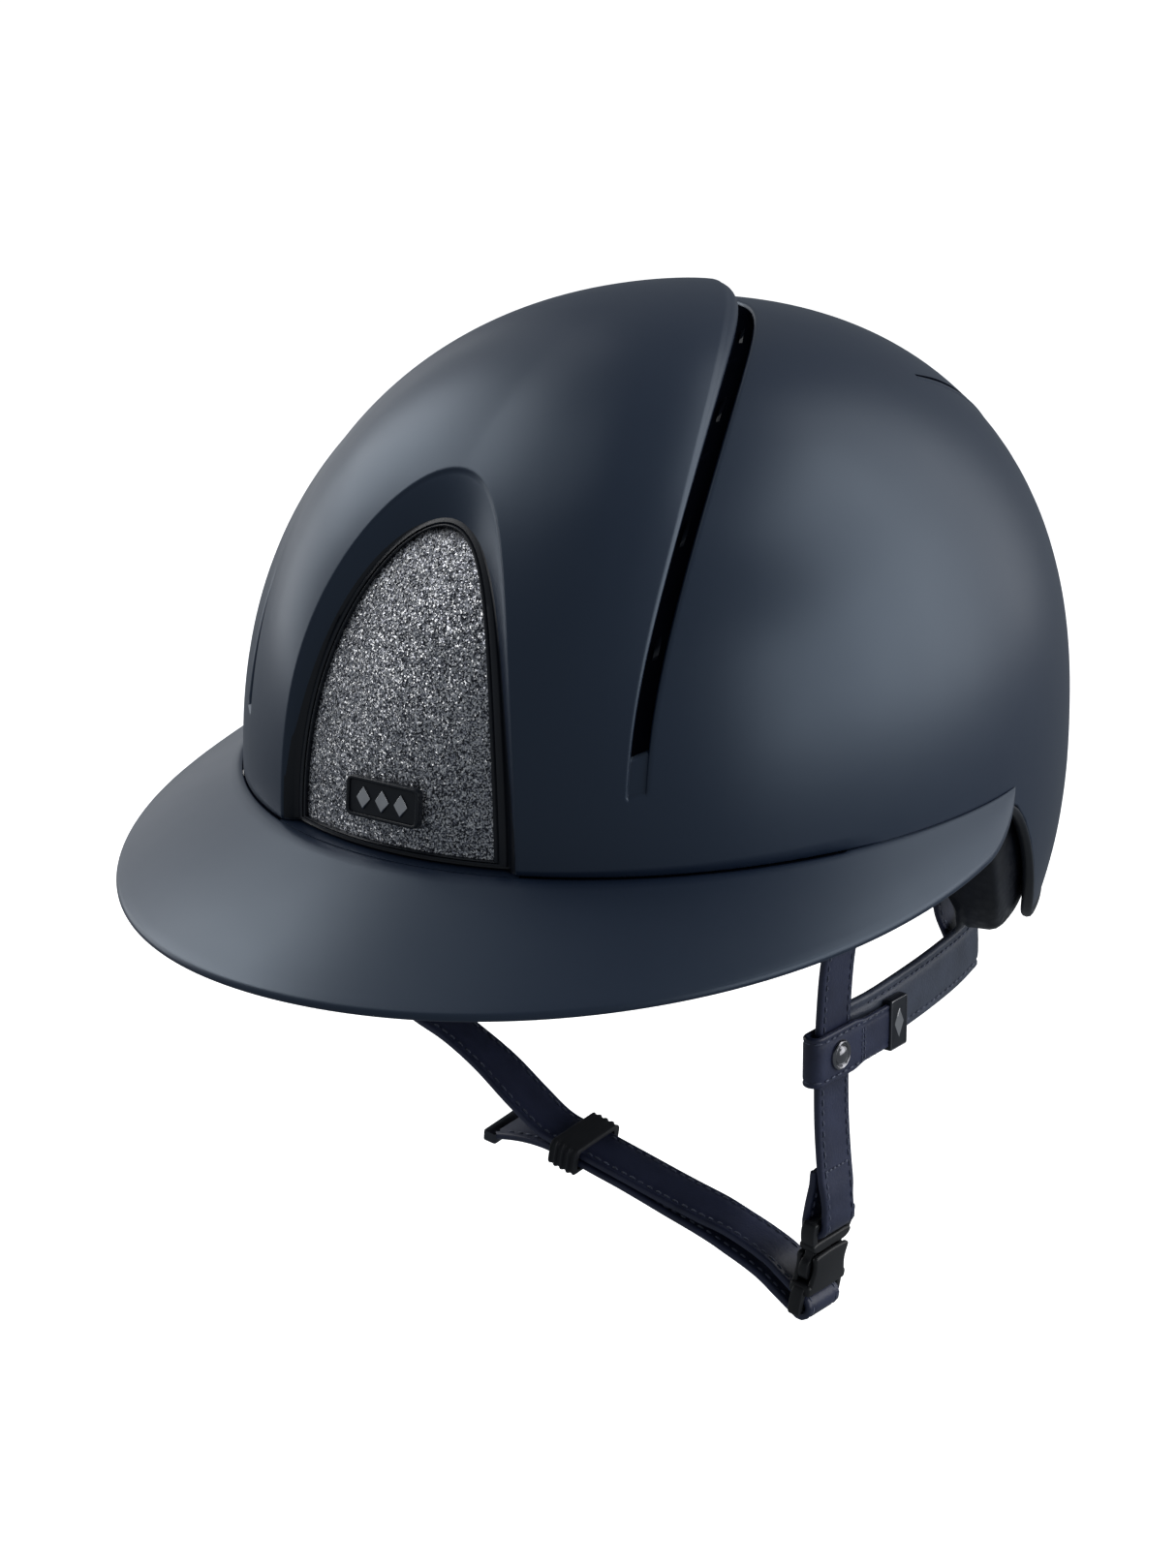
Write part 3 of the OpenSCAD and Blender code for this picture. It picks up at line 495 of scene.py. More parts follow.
def thread_material():
    """Twisted sewing thread, lighter than the leather."""
    color = (0.075, 0.09, 0.15)
    m, tree, b = shader("thread", color, 0.6, sheen=0.3)
    twist = texture(tree, "ShaderNodeTexWave", 900, Distortion=2.0)
    varied(tree, b, color, 300, 0.8, 1.35)
    bump(tree, b, [(twist.outputs["Fac"], 0.4, 0.1)])
    return m


def fabric_material(name="liner_fabric", color=(0.034, 0.038, 0.05), scale=700):
    """Knitted mesh lining: two crossed waves and a soft nap."""
    m, tree, b = shader(name, color, 0.85, specular=0.25, sheen=0.35)
    varied(tree, b, color, 60, 0.75, 1.4)
    warp = texture(tree, "ShaderNodeTexWave", scale, bands_direction="DIAGONAL", Distortion=0.6)
    weft = texture(tree, "ShaderNodeTexWave", scale * 0.9, bands_direction="Z", Distortion=0.6)
    nap = texture(tree, "ShaderNodeTexNoise", 1500, Detail=3.0)
    bump(tree, b, [(warp.outputs["Fac"], 0.5, 0.2), (weft.outputs["Fac"], 0.5, 0.2),
                   (nap.outputs["Fac"], 0.3, 0.1)])
    return m


def foam_material():
    """Moulded bead foam, black, with its beads just visible."""
    color = (0.006, 0.008, 0.014)
    m, tree, b = shader("impact_foam", color, 0.42, specular=0.4)
    beads = texture(tree, "ShaderNodeTexVoronoi", 330)
    varied(tree, b, color, 80, 0.7, 1.5)
    r = spread(tree, beads.outputs["Distance"], 0.3, 0.6)
    tree.links.new(r.outputs["Result"], b.inputs["Roughness"])
    bump(tree, b, [(beads.outputs["Distance"], 0.35, 0.25)])
    return m


def metal_material(name="bright_metal", color=(0.72, 0.72, 0.74), low=0.1, high=0.24):
    """Polished metal with fine scuffs."""
    m, tree, b = shader(name, color, low, metallic=1.0)
    scuffs = texture(tree, "ShaderNodeTexNoise", 700, Detail=5.0)
    varied(tree, b, color, 200, 0.86, 1.05)
    r = spread(tree, scuffs.outputs["Fac"], low, high)
    tree.links.new(r.outputs["Result"], b.inputs["Roughness"])
    bump(tree, b, [(scuffs.outputs["Fac"], 0.08, 0.04)])
    return m


def webbing_material():
    """Woven nylon: a herring-bone of raised yarns."""
    color = (0.01, 0.011, 0.016)
    m, tree, b = shader("webbing", color, 0.7, sheen=0.25)
    yarn = texture(tree, "ShaderNodeTexWave", 420, bands_direction="DIAGONAL")
    pick = texture(tree, "ShaderNodeTexWave", 330, bands_direction="Z")
    varied(tree, b, color, 200, 0.7, 1.5)
    bump(tree, b, [(yarn.outputs["Fac"], 0.6, 0.3), (pick.outputs["Fac"], 0.6, 0.3)])
    return m


PAINT = paint_material()
TRIM = trim_material()
SLOT_BLACK = trim_material("slot_black", (0.003, 0.004, 0.008), 0.6, 0.75, 0.0)
BRIM_LINING = fabric_material("brim_lining", (0.014, 0.016, 0.024), 900)
GLITTER = glitter_material()
LEATHER = leather_material()
PAD_LEATHER = leather_material("pad_leather", (0.06, 0.073, 0.108), 0.34, 0.46)
THREAD = thread_material()
FABRIC = fabric_material()
FOAM = foam_material()
METAL = metal_material()
DARK_METAL = metal_material("dark_metal", (0.3, 0.3, 0.32), 0.12, 0.24)
CLIP_METAL = metal_material("clip_metal", (0.08, 0.085, 0.1), 0.18, 0.3)
WEBBING = webbing_material()
BUCKLE = trim_material("buckle_plastic", (0.013, 0.014, 0.017), 0.38, 0.5, 0.45)
RUBBER = trim_material("keeper_rubber", (0.022, 0.024, 0.03), 0.55, 0.68, 0.35)


# ---------------------------------------------------------------- shell

def crossing(inside, low, high):
    """Where inside(alpha) turns false, for every roll at once."""
    for _ in range(30):
        mid = (low + high) / 2
        test = inside(mid)
        low = np.where(test, mid, low)
        high = np.where(test, high, mid)
    return (low + high) / 2


RIB_ROLLS = (17.0, 29.0, 43.0)
INNER_ROWS = 30         # rows of points up the shell's inner face


def wall_depth(t):
    """Depth of the recess's wall below the dome, from its foot at 0 to its brow at 1."""
    return 4.3 * (1 - t) ** 1.25 + 0.45 * t


def shell_rolls():
    """Rolls of the shell's columns, closest together where the slot ends."""
    half = np.concatenate([np.arange(0, 14, 1.0), np.arange(14, 56, 0.75), np.arange(56, 76, 0.5),
                           np.arange(76, 89.5, 1.35), [90.0]])
    return np.concatenate([-half[:0:-1], half])


def outer_shell():
    """The painted shell, with its window recess, scoop, slot, rim and inner face in one mesh."""
    roll = shell_rolls()
    edge = scoop_alpha(roll)

    def arch_alpha(size):
        def inside(alpha):
            p = swept(alpha, roll)
            return (p[:, 0] / size[0]) ** 2 + (p[:, 2] / size[1]) ** 2 < 1
        return crossing(inside, 0 * roll + 0.1, 0 * roll + 80)

    foot, top = arch_alpha(RECESS), arch_alpha(WINDOW)
    per_degree = np.linalg.norm(swept(edge + 0.5, roll) - swept(edge - 0.5, roll), axis=1)
    d = 0.5
    along = swept(scoop_alpha(roll + d), roll + d) - swept(scoop_alpha(roll - d), roll - d)
    row = unit(swept(edge + d, roll) - swept(edge - d, roll))
    lean = np.abs(np.sum(unit(along) * row, axis=1))
    stretch = 1 / np.sqrt(np.maximum(1 - lean ** 2, 0.15)) / per_degree
    lip_r = 0.9 + 2.9 * np.exp(-(roll / 24) ** 2)
    size = np.abs(roll)
    depth = np.where(size < SLOT_ROLL, SLOT_DEPTH, np.where(size < GROOVE_ROLL, 1.0, 0.0))
    for rib in RIB_ROLLS:
        depth = np.where(np.abs(size - rib) < 0.5, 2.4, depth)
    lip_lift = scoop_lift(edge, roll)
    grid, marks = [], []

    def row_at(alpha, height, mark=0):
        p = swept(alpha, roll)
        grid.append(p + surface_normal(p) * np.asarray(height)[..., None])
        marks.append(mark)

    for f in (0.0, 0.5, 0.9, 0.985):
        row_at(foot * f, 0 * roll - RECESS_FLOOR)
    for t in np.linspace(0, 1, 13):
        row_at(foot + (top - foot) * t, t * scoop_lift(top, roll) - wall_depth(t))
    for out, drop in ((0.15, 0.22), (0.4, 0.07), (0.8, 0.0)):
        alpha = top + out / per_degree
        row_at(alpha, scoop_lift(alpha, roll) - drop)
    begin, end = top + 1.3 / per_degree, edge - lip_r * stretch
    for t in np.linspace(0, 1, 66):
        alpha = begin + (end - begin) * t
        row_at(alpha, scoop_lift(alpha, roll))
    open_here = depth > 0

    def slot_row(out, height, mark=0):
        plain = lip_lift * np.clip(1 - out / (SLOT_W + 1), 0, 1)
        row_at(edge + out * stretch, np.where(open_here, np.maximum(height, -depth), plain), mark)

    for a in np.radians(np.arange(12, 91, 13)):
        slot_row(lip_r * (np.sin(a) - 1), lip_lift - lip_r * (1 - np.cos(a)))
    for out, height in ((0.1, -1.2), (0.2, -3.0), (0.3, -9.0), (SLOT_W / 2, -9.0), (SLOT_W - 0.2, -9.0),
                        (SLOT_W - 0.1, -2.6)):
        slot_row(out + 0 * roll, height + 0 * roll, 1)
    for out, drop in ((0, 1.0), (0.06, 0.62), (0.25, 0.28), (0.55, 0.08), (1.0, 0.0)):
        slot_row(SLOT_W + out + 0 * roll, 0 * roll - drop)
    begin = edge + (SLOT_W + 1.6) * stretch
    for t in np.linspace(0, 1, 54):
        row_at(begin + (180 - begin) * t, 0 * roll)
    grid = np.array(grid)
    rows, cols = grid.shape[:2]
    faces = grid_faces(rows, cols)
    quad_row = np.repeat(np.arange(rows - 1), cols - 1)
    quad_roll = np.tile(np.arange(cols - 1), rows - 1)
    marks = np.array(marks)
    deep = (depth[quad_roll] > 1.5) & (depth[quad_roll + 1] > 1.5)
    colour = np.where((marks[quad_row] + marks[quad_row + 1] > 0) & deep, 1, 0).tolist()

    # The strip below the brim's root: down to the rim, round it and up the inside to the crown
    loop = list(range(cols - 1, rows * cols, cols)) + list(range((rows - 2) * cols, 0, -cols))
    flat = grid.reshape(-1, 3)[loop]
    th = np.degrees(np.arctan2(flat[:, 0] / HALF_W, -flat[:, 1] / HALF_L))
    inset = np.linalg.norm(flat[:, :2] / np.array([HALF_W, HALF_L]), axis=1) * HALF_W - HALF_W
    low = rim_z(th)
    tuck = -1.7 * (1 - smooth((np.abs(th) - 64) / 2))
    strip = []
    for t in np.concatenate([[0.02, 0.05, 0.1], np.linspace(0.18, 1, 15)]):
        off = np.minimum(inset, 0) + tuck * smooth(t / 0.12)
        strip.append(dome(th, ph_at(low * t + 0.8 * t, 0), off))
    for out, drop in ((-0.35, 0.3), (-1.0, 0.7), (-2.0, 0.7), (-2.7, 0.3)):
        strip.append(dome(th, ph_at(low + 0.8 - drop, 0), np.minimum(inset, 0) + out + tuck * 0.4))
    reach = ph_at(low, 0)
    for t in np.linspace(0.99, 0.0, INNER_ROWS):
        p = dome(th, reach * t, -SHELL_T)
        behind = (p[:, 0] / POCKET[0]) ** 2 + (p[:, 2] / POCKET[1]) ** 2
        pocket = np.where(p[:, 1] < 0, 1 - smooth((behind - 0.85) / 0.2), 0)
        strip.append(dome(th, reach * t, -SHELL_T - 4.6 * pocket))
    strip = np.array(strip)
    base, around = rows * cols, len(loop)
    faces += [[loop[j], loop[(j + 1) % around], base + (j + 1) % around, base + j] for j in range(around)]
    inner_face = len(strip) - INNER_ROWS
    colour += [0] * (len(faces) - len(colour))
    faces += grid_faces(len(strip), len(loop), wrap=True, start=base)
    colour += [int(row >= inner_face) for row in range(len(strip) - 1) for _ in loop]
    verts = np.concatenate([grid.reshape(-1, 3), strip.reshape(-1, 3)])
    shell = piece("shell_skin", verts, faces, [PAINT, SLOT_BLACK], colour, weld=0.002)
    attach(shell, "helmet")
    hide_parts("outer_shell")


GRILLE_BACK, GRILLE_TOP = -5.6, -4.4
GRILLE_STEPS = (12, 24, 37, 50)


def crown_grille():
    """A black channel that lies in the slot, with a few low steps across it."""
    rolls = np.linspace(-63, 63, 253)
    edge = scoop_alpha(rolls)
    steps = sum(np.exp(-((np.abs(rolls) - at) / 1.6) ** 4) for at in GRILLE_STEPS)
    rings = []
    for r, a, step in zip(rolls, edge, steps):
        per = np.linalg.norm(swept(a + 0.5, r) - swept(a - 0.5, r))
        ring = []
        for out, high in ((0.5, GRILLE_BACK), (0.5, GRILLE_TOP), (1.6, GRILLE_TOP),
                          (2.6, GRILLE_TOP + 2.2 * step), (4.3, GRILLE_TOP + 2.9 * step),
                          (4.5, GRILLE_BACK)):
            p = swept(np.array(a + out / per), np.array(r))
            ring.append(p + surface_normal(p) * high)
        rings.append(ring)
    rings = np.array(rings)
    grille = piece("slot_grille", rings.reshape(-1, 3), tube(rings), [TRIM], sharp=35)
    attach(grille, "helmet")
    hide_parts("crown_grille")


def rear_vents():
    """Two tapering vents behind the crown: a dark inlay and a raised lip beside it."""
    route = np.array([(122, 34), (131, 39), (141, 47), (151, 58), (160, 70)], float)
    line = catmull(np.column_stack([route, 0 * route[:, 0]]), 14)[:, :2]
    for side, label in ((1, "left"), (-1, "right")):
        th, ph = line[:, 0] * side, line[:, 1]
        at = dome(th, ph)
        up = dome_normal(th, ph)
        along = unit(np.gradient(at, axis=0))
        away = unit(np.cross(up, along)) * side
        s = np.linspace(0, 1, len(line))
        half = 0.4 + 1.9 * np.sin(np.pi * np.clip(s * 0.9 + 0.08, 0, 1)) ** 0.8
        parts = []
        for low, high, rise, material in ((-0.3, 0.55, 0.08, SLOT_BLACK), (-1.3, -0.25, 0.2, PAINT)):
            rings = []
            for t, h in ((low, -1.2), (low, 0.0), (low * 0.75 + high * 0.25, 0.8),
                         (low * 0.5 + high * 0.5, 1.0),
                         (low * 0.25 + high * 0.75, 0.8), (high, 0.0), (high, -1.2)):
                height = rise * np.sin(np.pi * np.clip(s, 0.02, 0.98)) ** 0.6 * h if h > 0 else h + 0 * s
                rings.append(at + away * (half * t)[:, None] + up * height[:, None])
            rings = np.array(rings).transpose(1, 0, 2)
            parts.append(piece("vent_part", rings.reshape(-1, 3), tube(rings), [material], sharp=60))
        vent = join("rear_vent_" + label, parts)
        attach(vent, "helmet")
        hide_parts("rear_grille_" + label)


def rim_binding():
    """The soft rubber edge under the shell's rim."""
    th = np.arange(-180, 180, 1.2)
    at = dome(th, ph_at(rim_z(th)), -SHELL_T / 2)
    out = dome_normal(th, 90 + 0 * th)
    tuck = 1 - smooth((np.abs(th) - 88) / 6)
    rings = []
    for w, z in ((1.55, -0.3), (1.75, -0.9), (1.65, -1.8), (1.1, -2.5), (0, -2.8),
                 (-1.1, -2.5), (-1.65, -1.8), (-1.75, -0.9), (-1.55, -0.3)):
        rings.append(at + out * (w * (1 - 0.3 * tuck) - 0.6 * tuck)[:, None] + np.array([0, 0, 1.0]) * z)
    rings = np.array(rings).transpose(1, 0, 2)
    edge = piece("shell_edge", rings.reshape(-1, 3), tube(rings, loop=True), [TRIM])
    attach(edge, "helmet")
    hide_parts("rim_binding")


# ---------------------------------------------------------------- brim

BRIM_HALF_W, BRIM_FRONT, BRIM_DROP = 121.0, 182.0, 24.0
BRIM_CENTRE_Y, BRIM_EDGE_Z, BRIM_EDGE_POWER = -36.8, -12.5, 1.5
BRIM_END, BRIM_ROUND = 96.0, 7.0
JOINT_END = 65.0        # the open joint between shell and brim closes here
JOINT_GAP = 0.35


def brim_outer(th):
    """The brim's outer edge, th degrees round from the front."""
    t = np.radians(th * 104 / 95)
    y = BRIM_CENTRE_Y - (BRIM_FRONT + BRIM_CENTRE_Y) * np.cos(t)
    s = (y + BRIM_FRONT) / (BRIM_FRONT + BRIM_CENTRE_Y)
    return np.stack([BRIM_HALF_W * np.sin(t), y, -BRIM_DROP + (BRIM_EDGE_Z + BRIM_DROP)
                     * s ** BRIM_EDGE_POWER], -1)


def brim():
    """The wide brim: a crowned top, a rounded edge and a lined underside."""
    core = np.arange(-88, 88.1, 0.75)
    tips = np.array([88.7, 89.4, 90.1, 90.8, 91.5, 92.2, 92.9, 93.5, 94.1, 94.7, 95.2, 95.6, 95.85, 95.98])
    th = np.concatenate([-tips[::-1], core, tips])
    width = np.sqrt(np.maximum(0.02, 1 - (np.maximum(0,
                                                     np.abs(th) - BRIM_END + BRIM_ROUND) / BRIM_ROUND) ** 2))
    root = dome(th, 90 + 0 * th, 0.12)
    run = (brim_outer(th) - root) * width[:, None]
    length = np.linalg.norm(run, axis=1)
    up = np.array([0, 0, 1.0])
    gap = JOINT_GAP * (1 - smooth((np.abs(th) - JOINT_END + 0.8) / 0.8)) + 0.15
    rows, lining = [], []

    def ring(share, inward, height, lined=0):
        along = share - np.minimum(inward, length * 0.45) / length
        rows.append(root + run * along[:, None] + up * height[:, None])
        lining.append(lined)

    none = 0 * th
    edge_r = 1.15 * np.minimum(1, width + 0.25)
    ring(0, none, none - 3.2, 1)
    ring(0, none, -gap - 0.5)
    ring(0, none - 0.12, -gap - 0.12)
    ring(0, none - 0.45, -gap)
    soft = 5.0 * np.minimum(1, 0.45 * length / 5.0)
    reach = 1 - soft * 1.15 / length

    def crown(share):
        return 0.2 + 1.25 * np.sin(np.pi * 0.72 * share ** 1.1)

    for v in np.concatenate([[0.03, 0.07], np.linspace(0.12, 1, 15)]):
        ring(v * reach, none, crown(v * reach) * width - (gap + 0.2) * (1 - smooth(v / 0.06)))
    shoulder = crown(1 - soft / length) * width
    lip = shoulder - 0.2 * width
    for share in (1.0, 0.82, 0.64, 0.48, 0.34, 0.24):
        fall = ((1 - share) / 0.78) ** 2
        ring(1, soft * share, shoulder - (shoulder - lip) * fall)
    for a in np.radians(np.linspace(-84, 90, 13)):
        ring(1, edge_r * (1 - np.cos(a)), lip - edge_r * (1 + np.sin(a)))
    ring(1, none + 3.0, -1.75 * width)
    ring(1, none + 4.4, -2.6 * width, 1)
    for v in np.linspace(0.85, 0.05, 9):
        ring(v, none, -(3.0 + 0.9 * (1 - v)) * np.maximum(width, 0.5) + 0.5 * np.sin(np.pi * v) * width, 1)
    rings = np.array(rows).transpose(1, 0, 2)
    faces = tube(rings)
    k = rings.shape[1]
    lined = [lining[j] for _ in range(len(th) - 1) for j in range(k)] + [0, 0]
    visor = piece("brim_body", rings.reshape(-1, 3), faces, [PAINT, BRIM_LINING], lined)
    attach(visor, "helmet")
    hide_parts("brim")

    th = np.arange(-JOINT_END, JOINT_END + 0.1, 0.5)
    in_window = np.abs(dome(th, 90 + 0 * th)[:, 0]) < WINDOW[0] + 1
    behind, top = np.where(in_window, -8.9, -2.1), np.where(in_window, -0.45, -0.6)
    section = ((1, 0), (0.15, 0.02), (0, -0.1), (0, -1.2), (1, -1.3))
    rings = np.array([dome(th, 90 + 0 * th, behind * share) + up * (top + z)[:, None] for share,
                      z in section])
    rings = rings.transpose(1, 0, 2)
    faces = tube(rings)
    painted = [int(in_window[k] and in_window[k + 1]) for k in range(len(th) - 1) for _ in section] + [0, 0]
    seal = piece("joint_seal", rings.reshape(-1, 3), faces, [SLOT_BLACK, PAINT], painted, sharp=60)
    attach(seal, "helmet")
    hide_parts("brim_gasket")


# ---------------------------------------------------------------- front panel

ARCH_STEPS = 120


def arch(half_w, h, foot):
    """Points of an arch from right to left, cut off level at its foot."""
    a = np.radians(np.linspace(0, 180, ARCH_STEPS + 1))
    return np.stack([half_w * np.cos(a), np.maximum(foot, h * np.sin(a))], -1)


def panel_frame():
    """The dark frame: a flange up the recess's wall, a broad band, a groove and a thin inner bead."""
    f = np.arange(1, 60) / 60
    outlines = []
    for half_w, h, foot in ((*FRAME, PANEL_FOOT), (*PANEL, PANEL_FOOT + 1.8), (*RECESS, PANEL_FOOT),
                            (*WINDOW, PANEL_FOOT)):
        low = np.stack([-half_w * (1 - 2 * f), foot + 0 * f], -1)
        outlines.append(np.concatenate([arch(half_w, h, foot), low]))
    height = outlines[0][:, 1] / FRAME[1]
    on_foot = np.arange(len(height)) > ARCH_STEPS
    reach = np.where(on_foot, 0.02, 0.12 + 0.82 * (1 - smooth((height - 0.74) / 0.25)))
    back = 6.2
    section = [(0.3, 4.0), (0.34, 3.6), (0.4, 3.42), (0.66, 3.45), (0.7, 3.6), (0.72, 4.2), (0.77, 4.2),
               (0.8, 3.7), (0.84, 3.52), (0.9, 3.5), (0.96, 3.65), (1.0, 4.1), (1.0, back)]
    rings = []
    for o, i, foot_at, top_at, top in zip(*outlines, reach):
        ring = [front_point(o[0], o[1], back)]
        for t, lift in ((0, -1.2), (0.5, -0.7), (1, -0.4), (1, 0.12), (0.66, 0.25), (0.33, 0.3), (0, 0.45)):
            q = foot_at + (top_at - foot_at) * t * top
            on_skin = front_point(q[0], q[1], 0)
            ring.append(on_skin + surface_normal(on_skin) * (lift - wall_depth(t * top)))
        ring += [front_point(*(o + (i - o) * t), depth) for t, depth in section]
        rings.append(ring)
    rings = np.array(rings)
    surround = piece("panel_surround", rings.reshape(-1, 3), tube(rings, loop=True), [TRIM], sharp=55)
    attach(surround, "helmet")
    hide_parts("panel_frame")


def front_panel():
    """The glitter panel, one curved sheet."""
    low = PANEL_FOOT + 1.9
    edge = arch(PANEL[0] - 0.1, PANEL[1] - 0.1, low)
    shares = np.concatenate([[0.0], np.linspace(0.06, 1, 24)])

    def sheet(depth):
        return np.array([[front_point(x * s, low + (z - low) * s, depth) for x, z in edge] for s in shares])

    verts, faces = closed_layer(sheet(PANEL_DEPTH), sheet(PANEL_DEPTH + PANEL_T), wrap=False, pole=False)
    panel = piece("glitter_panel", verts, faces, [GLITTER], weld=0.002, sharp=50)
    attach(panel, "helmet")
    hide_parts("front_panel")


def badge():
    """A blank rounded plate with a raised rim and three lozenges."""
    half_x, half_y, thick, z = 12.0, 5.5, 1.4, 14.0
    place = (Matrix.Translation(Vector(front_point(0, z, PANEL_DEPTH)))
             @ Matrix.Rotation(math.radians(85), 4, "X") @ Matrix.Translation((0, 0, 0.8)))
    ring_out, ring_in = rounded(half_x, half_y, 1.8), rounded(half_x - 1.1, half_y - 1.1, 0.9)
    plate = bevelled("badge_body", ring_out, -0.6, thick - 0.2, 0.3, TRIM, place)
    section = ((0, thick - 0.4), (0.04, thick + 0.15), (0.2, thick + 0.4), (0.75, thick + 0.4),
               (0.95, thick + 0.15), (1, thick - 0.4))
    rings = border(ring_out, ring_in, section, place)
    rim = piece("badge_rim", rings.reshape(-1, 3), tube(rings, loop=True), [TRIM])
    plate = join("badge_body", [plate, rim])
    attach(plate, "helmet")
    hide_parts("badge_plate")
    marks = []
    pitch, mark_x, mark_z = 6.2, 2.3, 3.2
    for x in (-pitch, 0, pitch):
        outline = [(x - mark_x, 0), (x, -mark_z), (x + mark_x, 0), (x, mark_z)]
        marks.append(bevelled("lozenge", outline, thick - 0.3, thick + 0.45, 0.35, METAL, place))
    marks = join("badge_marks", marks)
    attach(marks, "helmet")
    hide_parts("badge_emblem")


# ---------------------------------------------------------------- liners

def impact_liner():
    """Moulded foam under the shell, with a rolled lower edge and the pocket behind the panel."""
    th = np.arange(-180, 180, 1.5)
    last_out, last_in = ph_at(liner_z(th) + 1.5, IMPACT_OUT), ph_at(liner_z(th) + 1.5, IMPACT_IN)
    outer, inner = [], []

    def inner_off(z):
        return IMPACT_IN + 7.5 * smooth((-30 - z) / 12) * (1 - smooth((np.abs(th) - 114) / 18))

    for t in np.linspace(0, 1, 46):
        p = dome(th, last_out * t, IMPACT_OUT)
        inside = (p[:, 0] / POCKET[0]) ** 2 + (p[:, 2] / POCKET[1]) ** 2
        pocket = np.where(p[:, 1] < 0, 1 - smooth((inside - 0.95) / 0.15), 0)
        outer.append(dome(th, last_out * t, IMPACT_OUT - 4.2 * pocket))
        inner.append(dome(th, last_in * t, inner_off(dome(th, last_in * t, IMPACT_IN)[:, 2])))
    for out, drop in ((0.8, 0.9), (2.4, 1.5)):
        low = liner_z(th) + 1.5 - drop
        outer.append(dome(th, ph_at(low, IMPACT_OUT - out), IMPACT_OUT - out))
        inner.append(dome(th, ph_at(low, inner_off(low) + out), inner_off(low) + out))
    verts, faces = closed_layer(np.array(outer), np.array(inner), wrap=True, pole=True)
    liner = piece("foam_liner", verts, faces, [FOAM], weld=0.002)
    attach(liner, "helmet")
    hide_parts("impact_liner")


def quilted(name, node, th, ph, material, ribs, wrap, pole, rows_of_tufts):
    """A soft pad between two layers of the dome, puffed between its sewn channels."""
    u = np.linspace(0, 1, ph.shape[0])[:, None]
    v = np.linspace(0, 1, ph.shape[1], endpoint=not wrap)[None, :]
    along = np.abs(np.sin(np.pi * ribs * v))
    across = np.abs(np.sin(np.pi * rows_of_tufts * u))
    ends = np.clip(np.minimum(u if not pole else 1 + 0 * u, 1 - u) / 0.09, 0, 1)
    sides = 1.0 if wrap else np.clip(np.minimum(v, 1 - v) / 0.06, 0, 1)
    puff = (0.42 + 0.58 * (along * across) ** 0.45) * np.sqrt(1 - (1 - ends) ** 2) * np.sqrt(1 - (1 - sides) ** 2)
    outer = dome(th, ph, PAD_OUT)
    thick = (PAD_OUT - PAD_IN) * puff + 0.25
    inner = dome(th, ph, PAD_OUT) - dome_normal(th, ph) * thick[..., None]
    verts, faces = closed_layer(outer, inner, wrap, pole)
    pad = piece(name, verts, faces, [material], weld=0.002)
    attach(pad, "helmet")
    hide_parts(node)


def liner_pads():
    """The crown, headband and nape cushions."""
    th = np.arange(-180, 180, 1.5)
    shape = np.ones((44, 1))
    crown = 52 * np.linspace(0.004, 1, 44)[:, None] + 0 * th
    quilted("crown_cushion", "crown_pad", th * shape, crown, FABRIC, 6, True, True, 3)
    last = ph_at(np.maximum(liner_z(th), -28) + 2, PAD_OUT)
    headband = 58 + (last - 58) * np.linspace(0, 1, 44)[:, None]
    quilted("headband_cushion", "headband_pad", th * shape, headband, FABRIC, 12, True, False, 1)
    nape = np.linspace(145, 215, 60)
    rows = np.linspace(-31, -43, 26)[:, None]
    quilted("nape_cushion", "nape_pad", nape * np.ones((26, 1)), ph_at(rows, PAD_OUT) + 0 * nape,
            PAD_LEATHER, 3, False, False, 1)


# ---------------------------------------------------------------- straps

STRAP_W, STRAP_T = 16.0, 2.2


def band_section(width, thick, groove, pad):
    """Section of a leather band: rounded edges, a groove inside each, a slightly full middle."""
    half, r = width / 2, thick / 2
    top = [(half - r * 0.9, r * 0.98), (half - groove + 0.75, r + 0.02), (half - groove, r - 0.24),
           (half - groove - 0.75, r + pad * 0.35)]
    top += [(half * 0.42, r + pad * 0.85), (0, r + pad)]
    right = [(half - r * 0.9 + r * 0.9 * math.cos(a), r * math.sin(a))
             for a in np.radians(np.linspace(-70, 70, 5))]
    quarter = right + top
    left_top = [(-x, y) for x, y in reversed(top[:-1])]
    left = [(-x, y) for x, y in reversed(right)]
    under_left = [(-x, -y) for x, y in top]
    under_right = [(x, -y) for x, y in reversed(top[:-1])]
    return quarter + left_top + left + under_left + under_right


def frames(path, wide):
    """Across and up directions at each point of a path, from one or more directions along it."""
    wide = np.asarray(wide, float)
    if wide.ndim == 2:
        at, share = np.linspace(0, 1, len(path)), np.linspace(0, 1, len(wide))
        wide = np.stack([np.interp(at, share, wide[:, k]) for k in range(3)], -1)
    along = unit(np.gradient(path, axis=0))
    wide = np.broadcast_to(wide, path.shape)
    across = unit(wide - along * np.sum(along * wide, axis=1)[:, None])
    return across, np.cross(along, across)


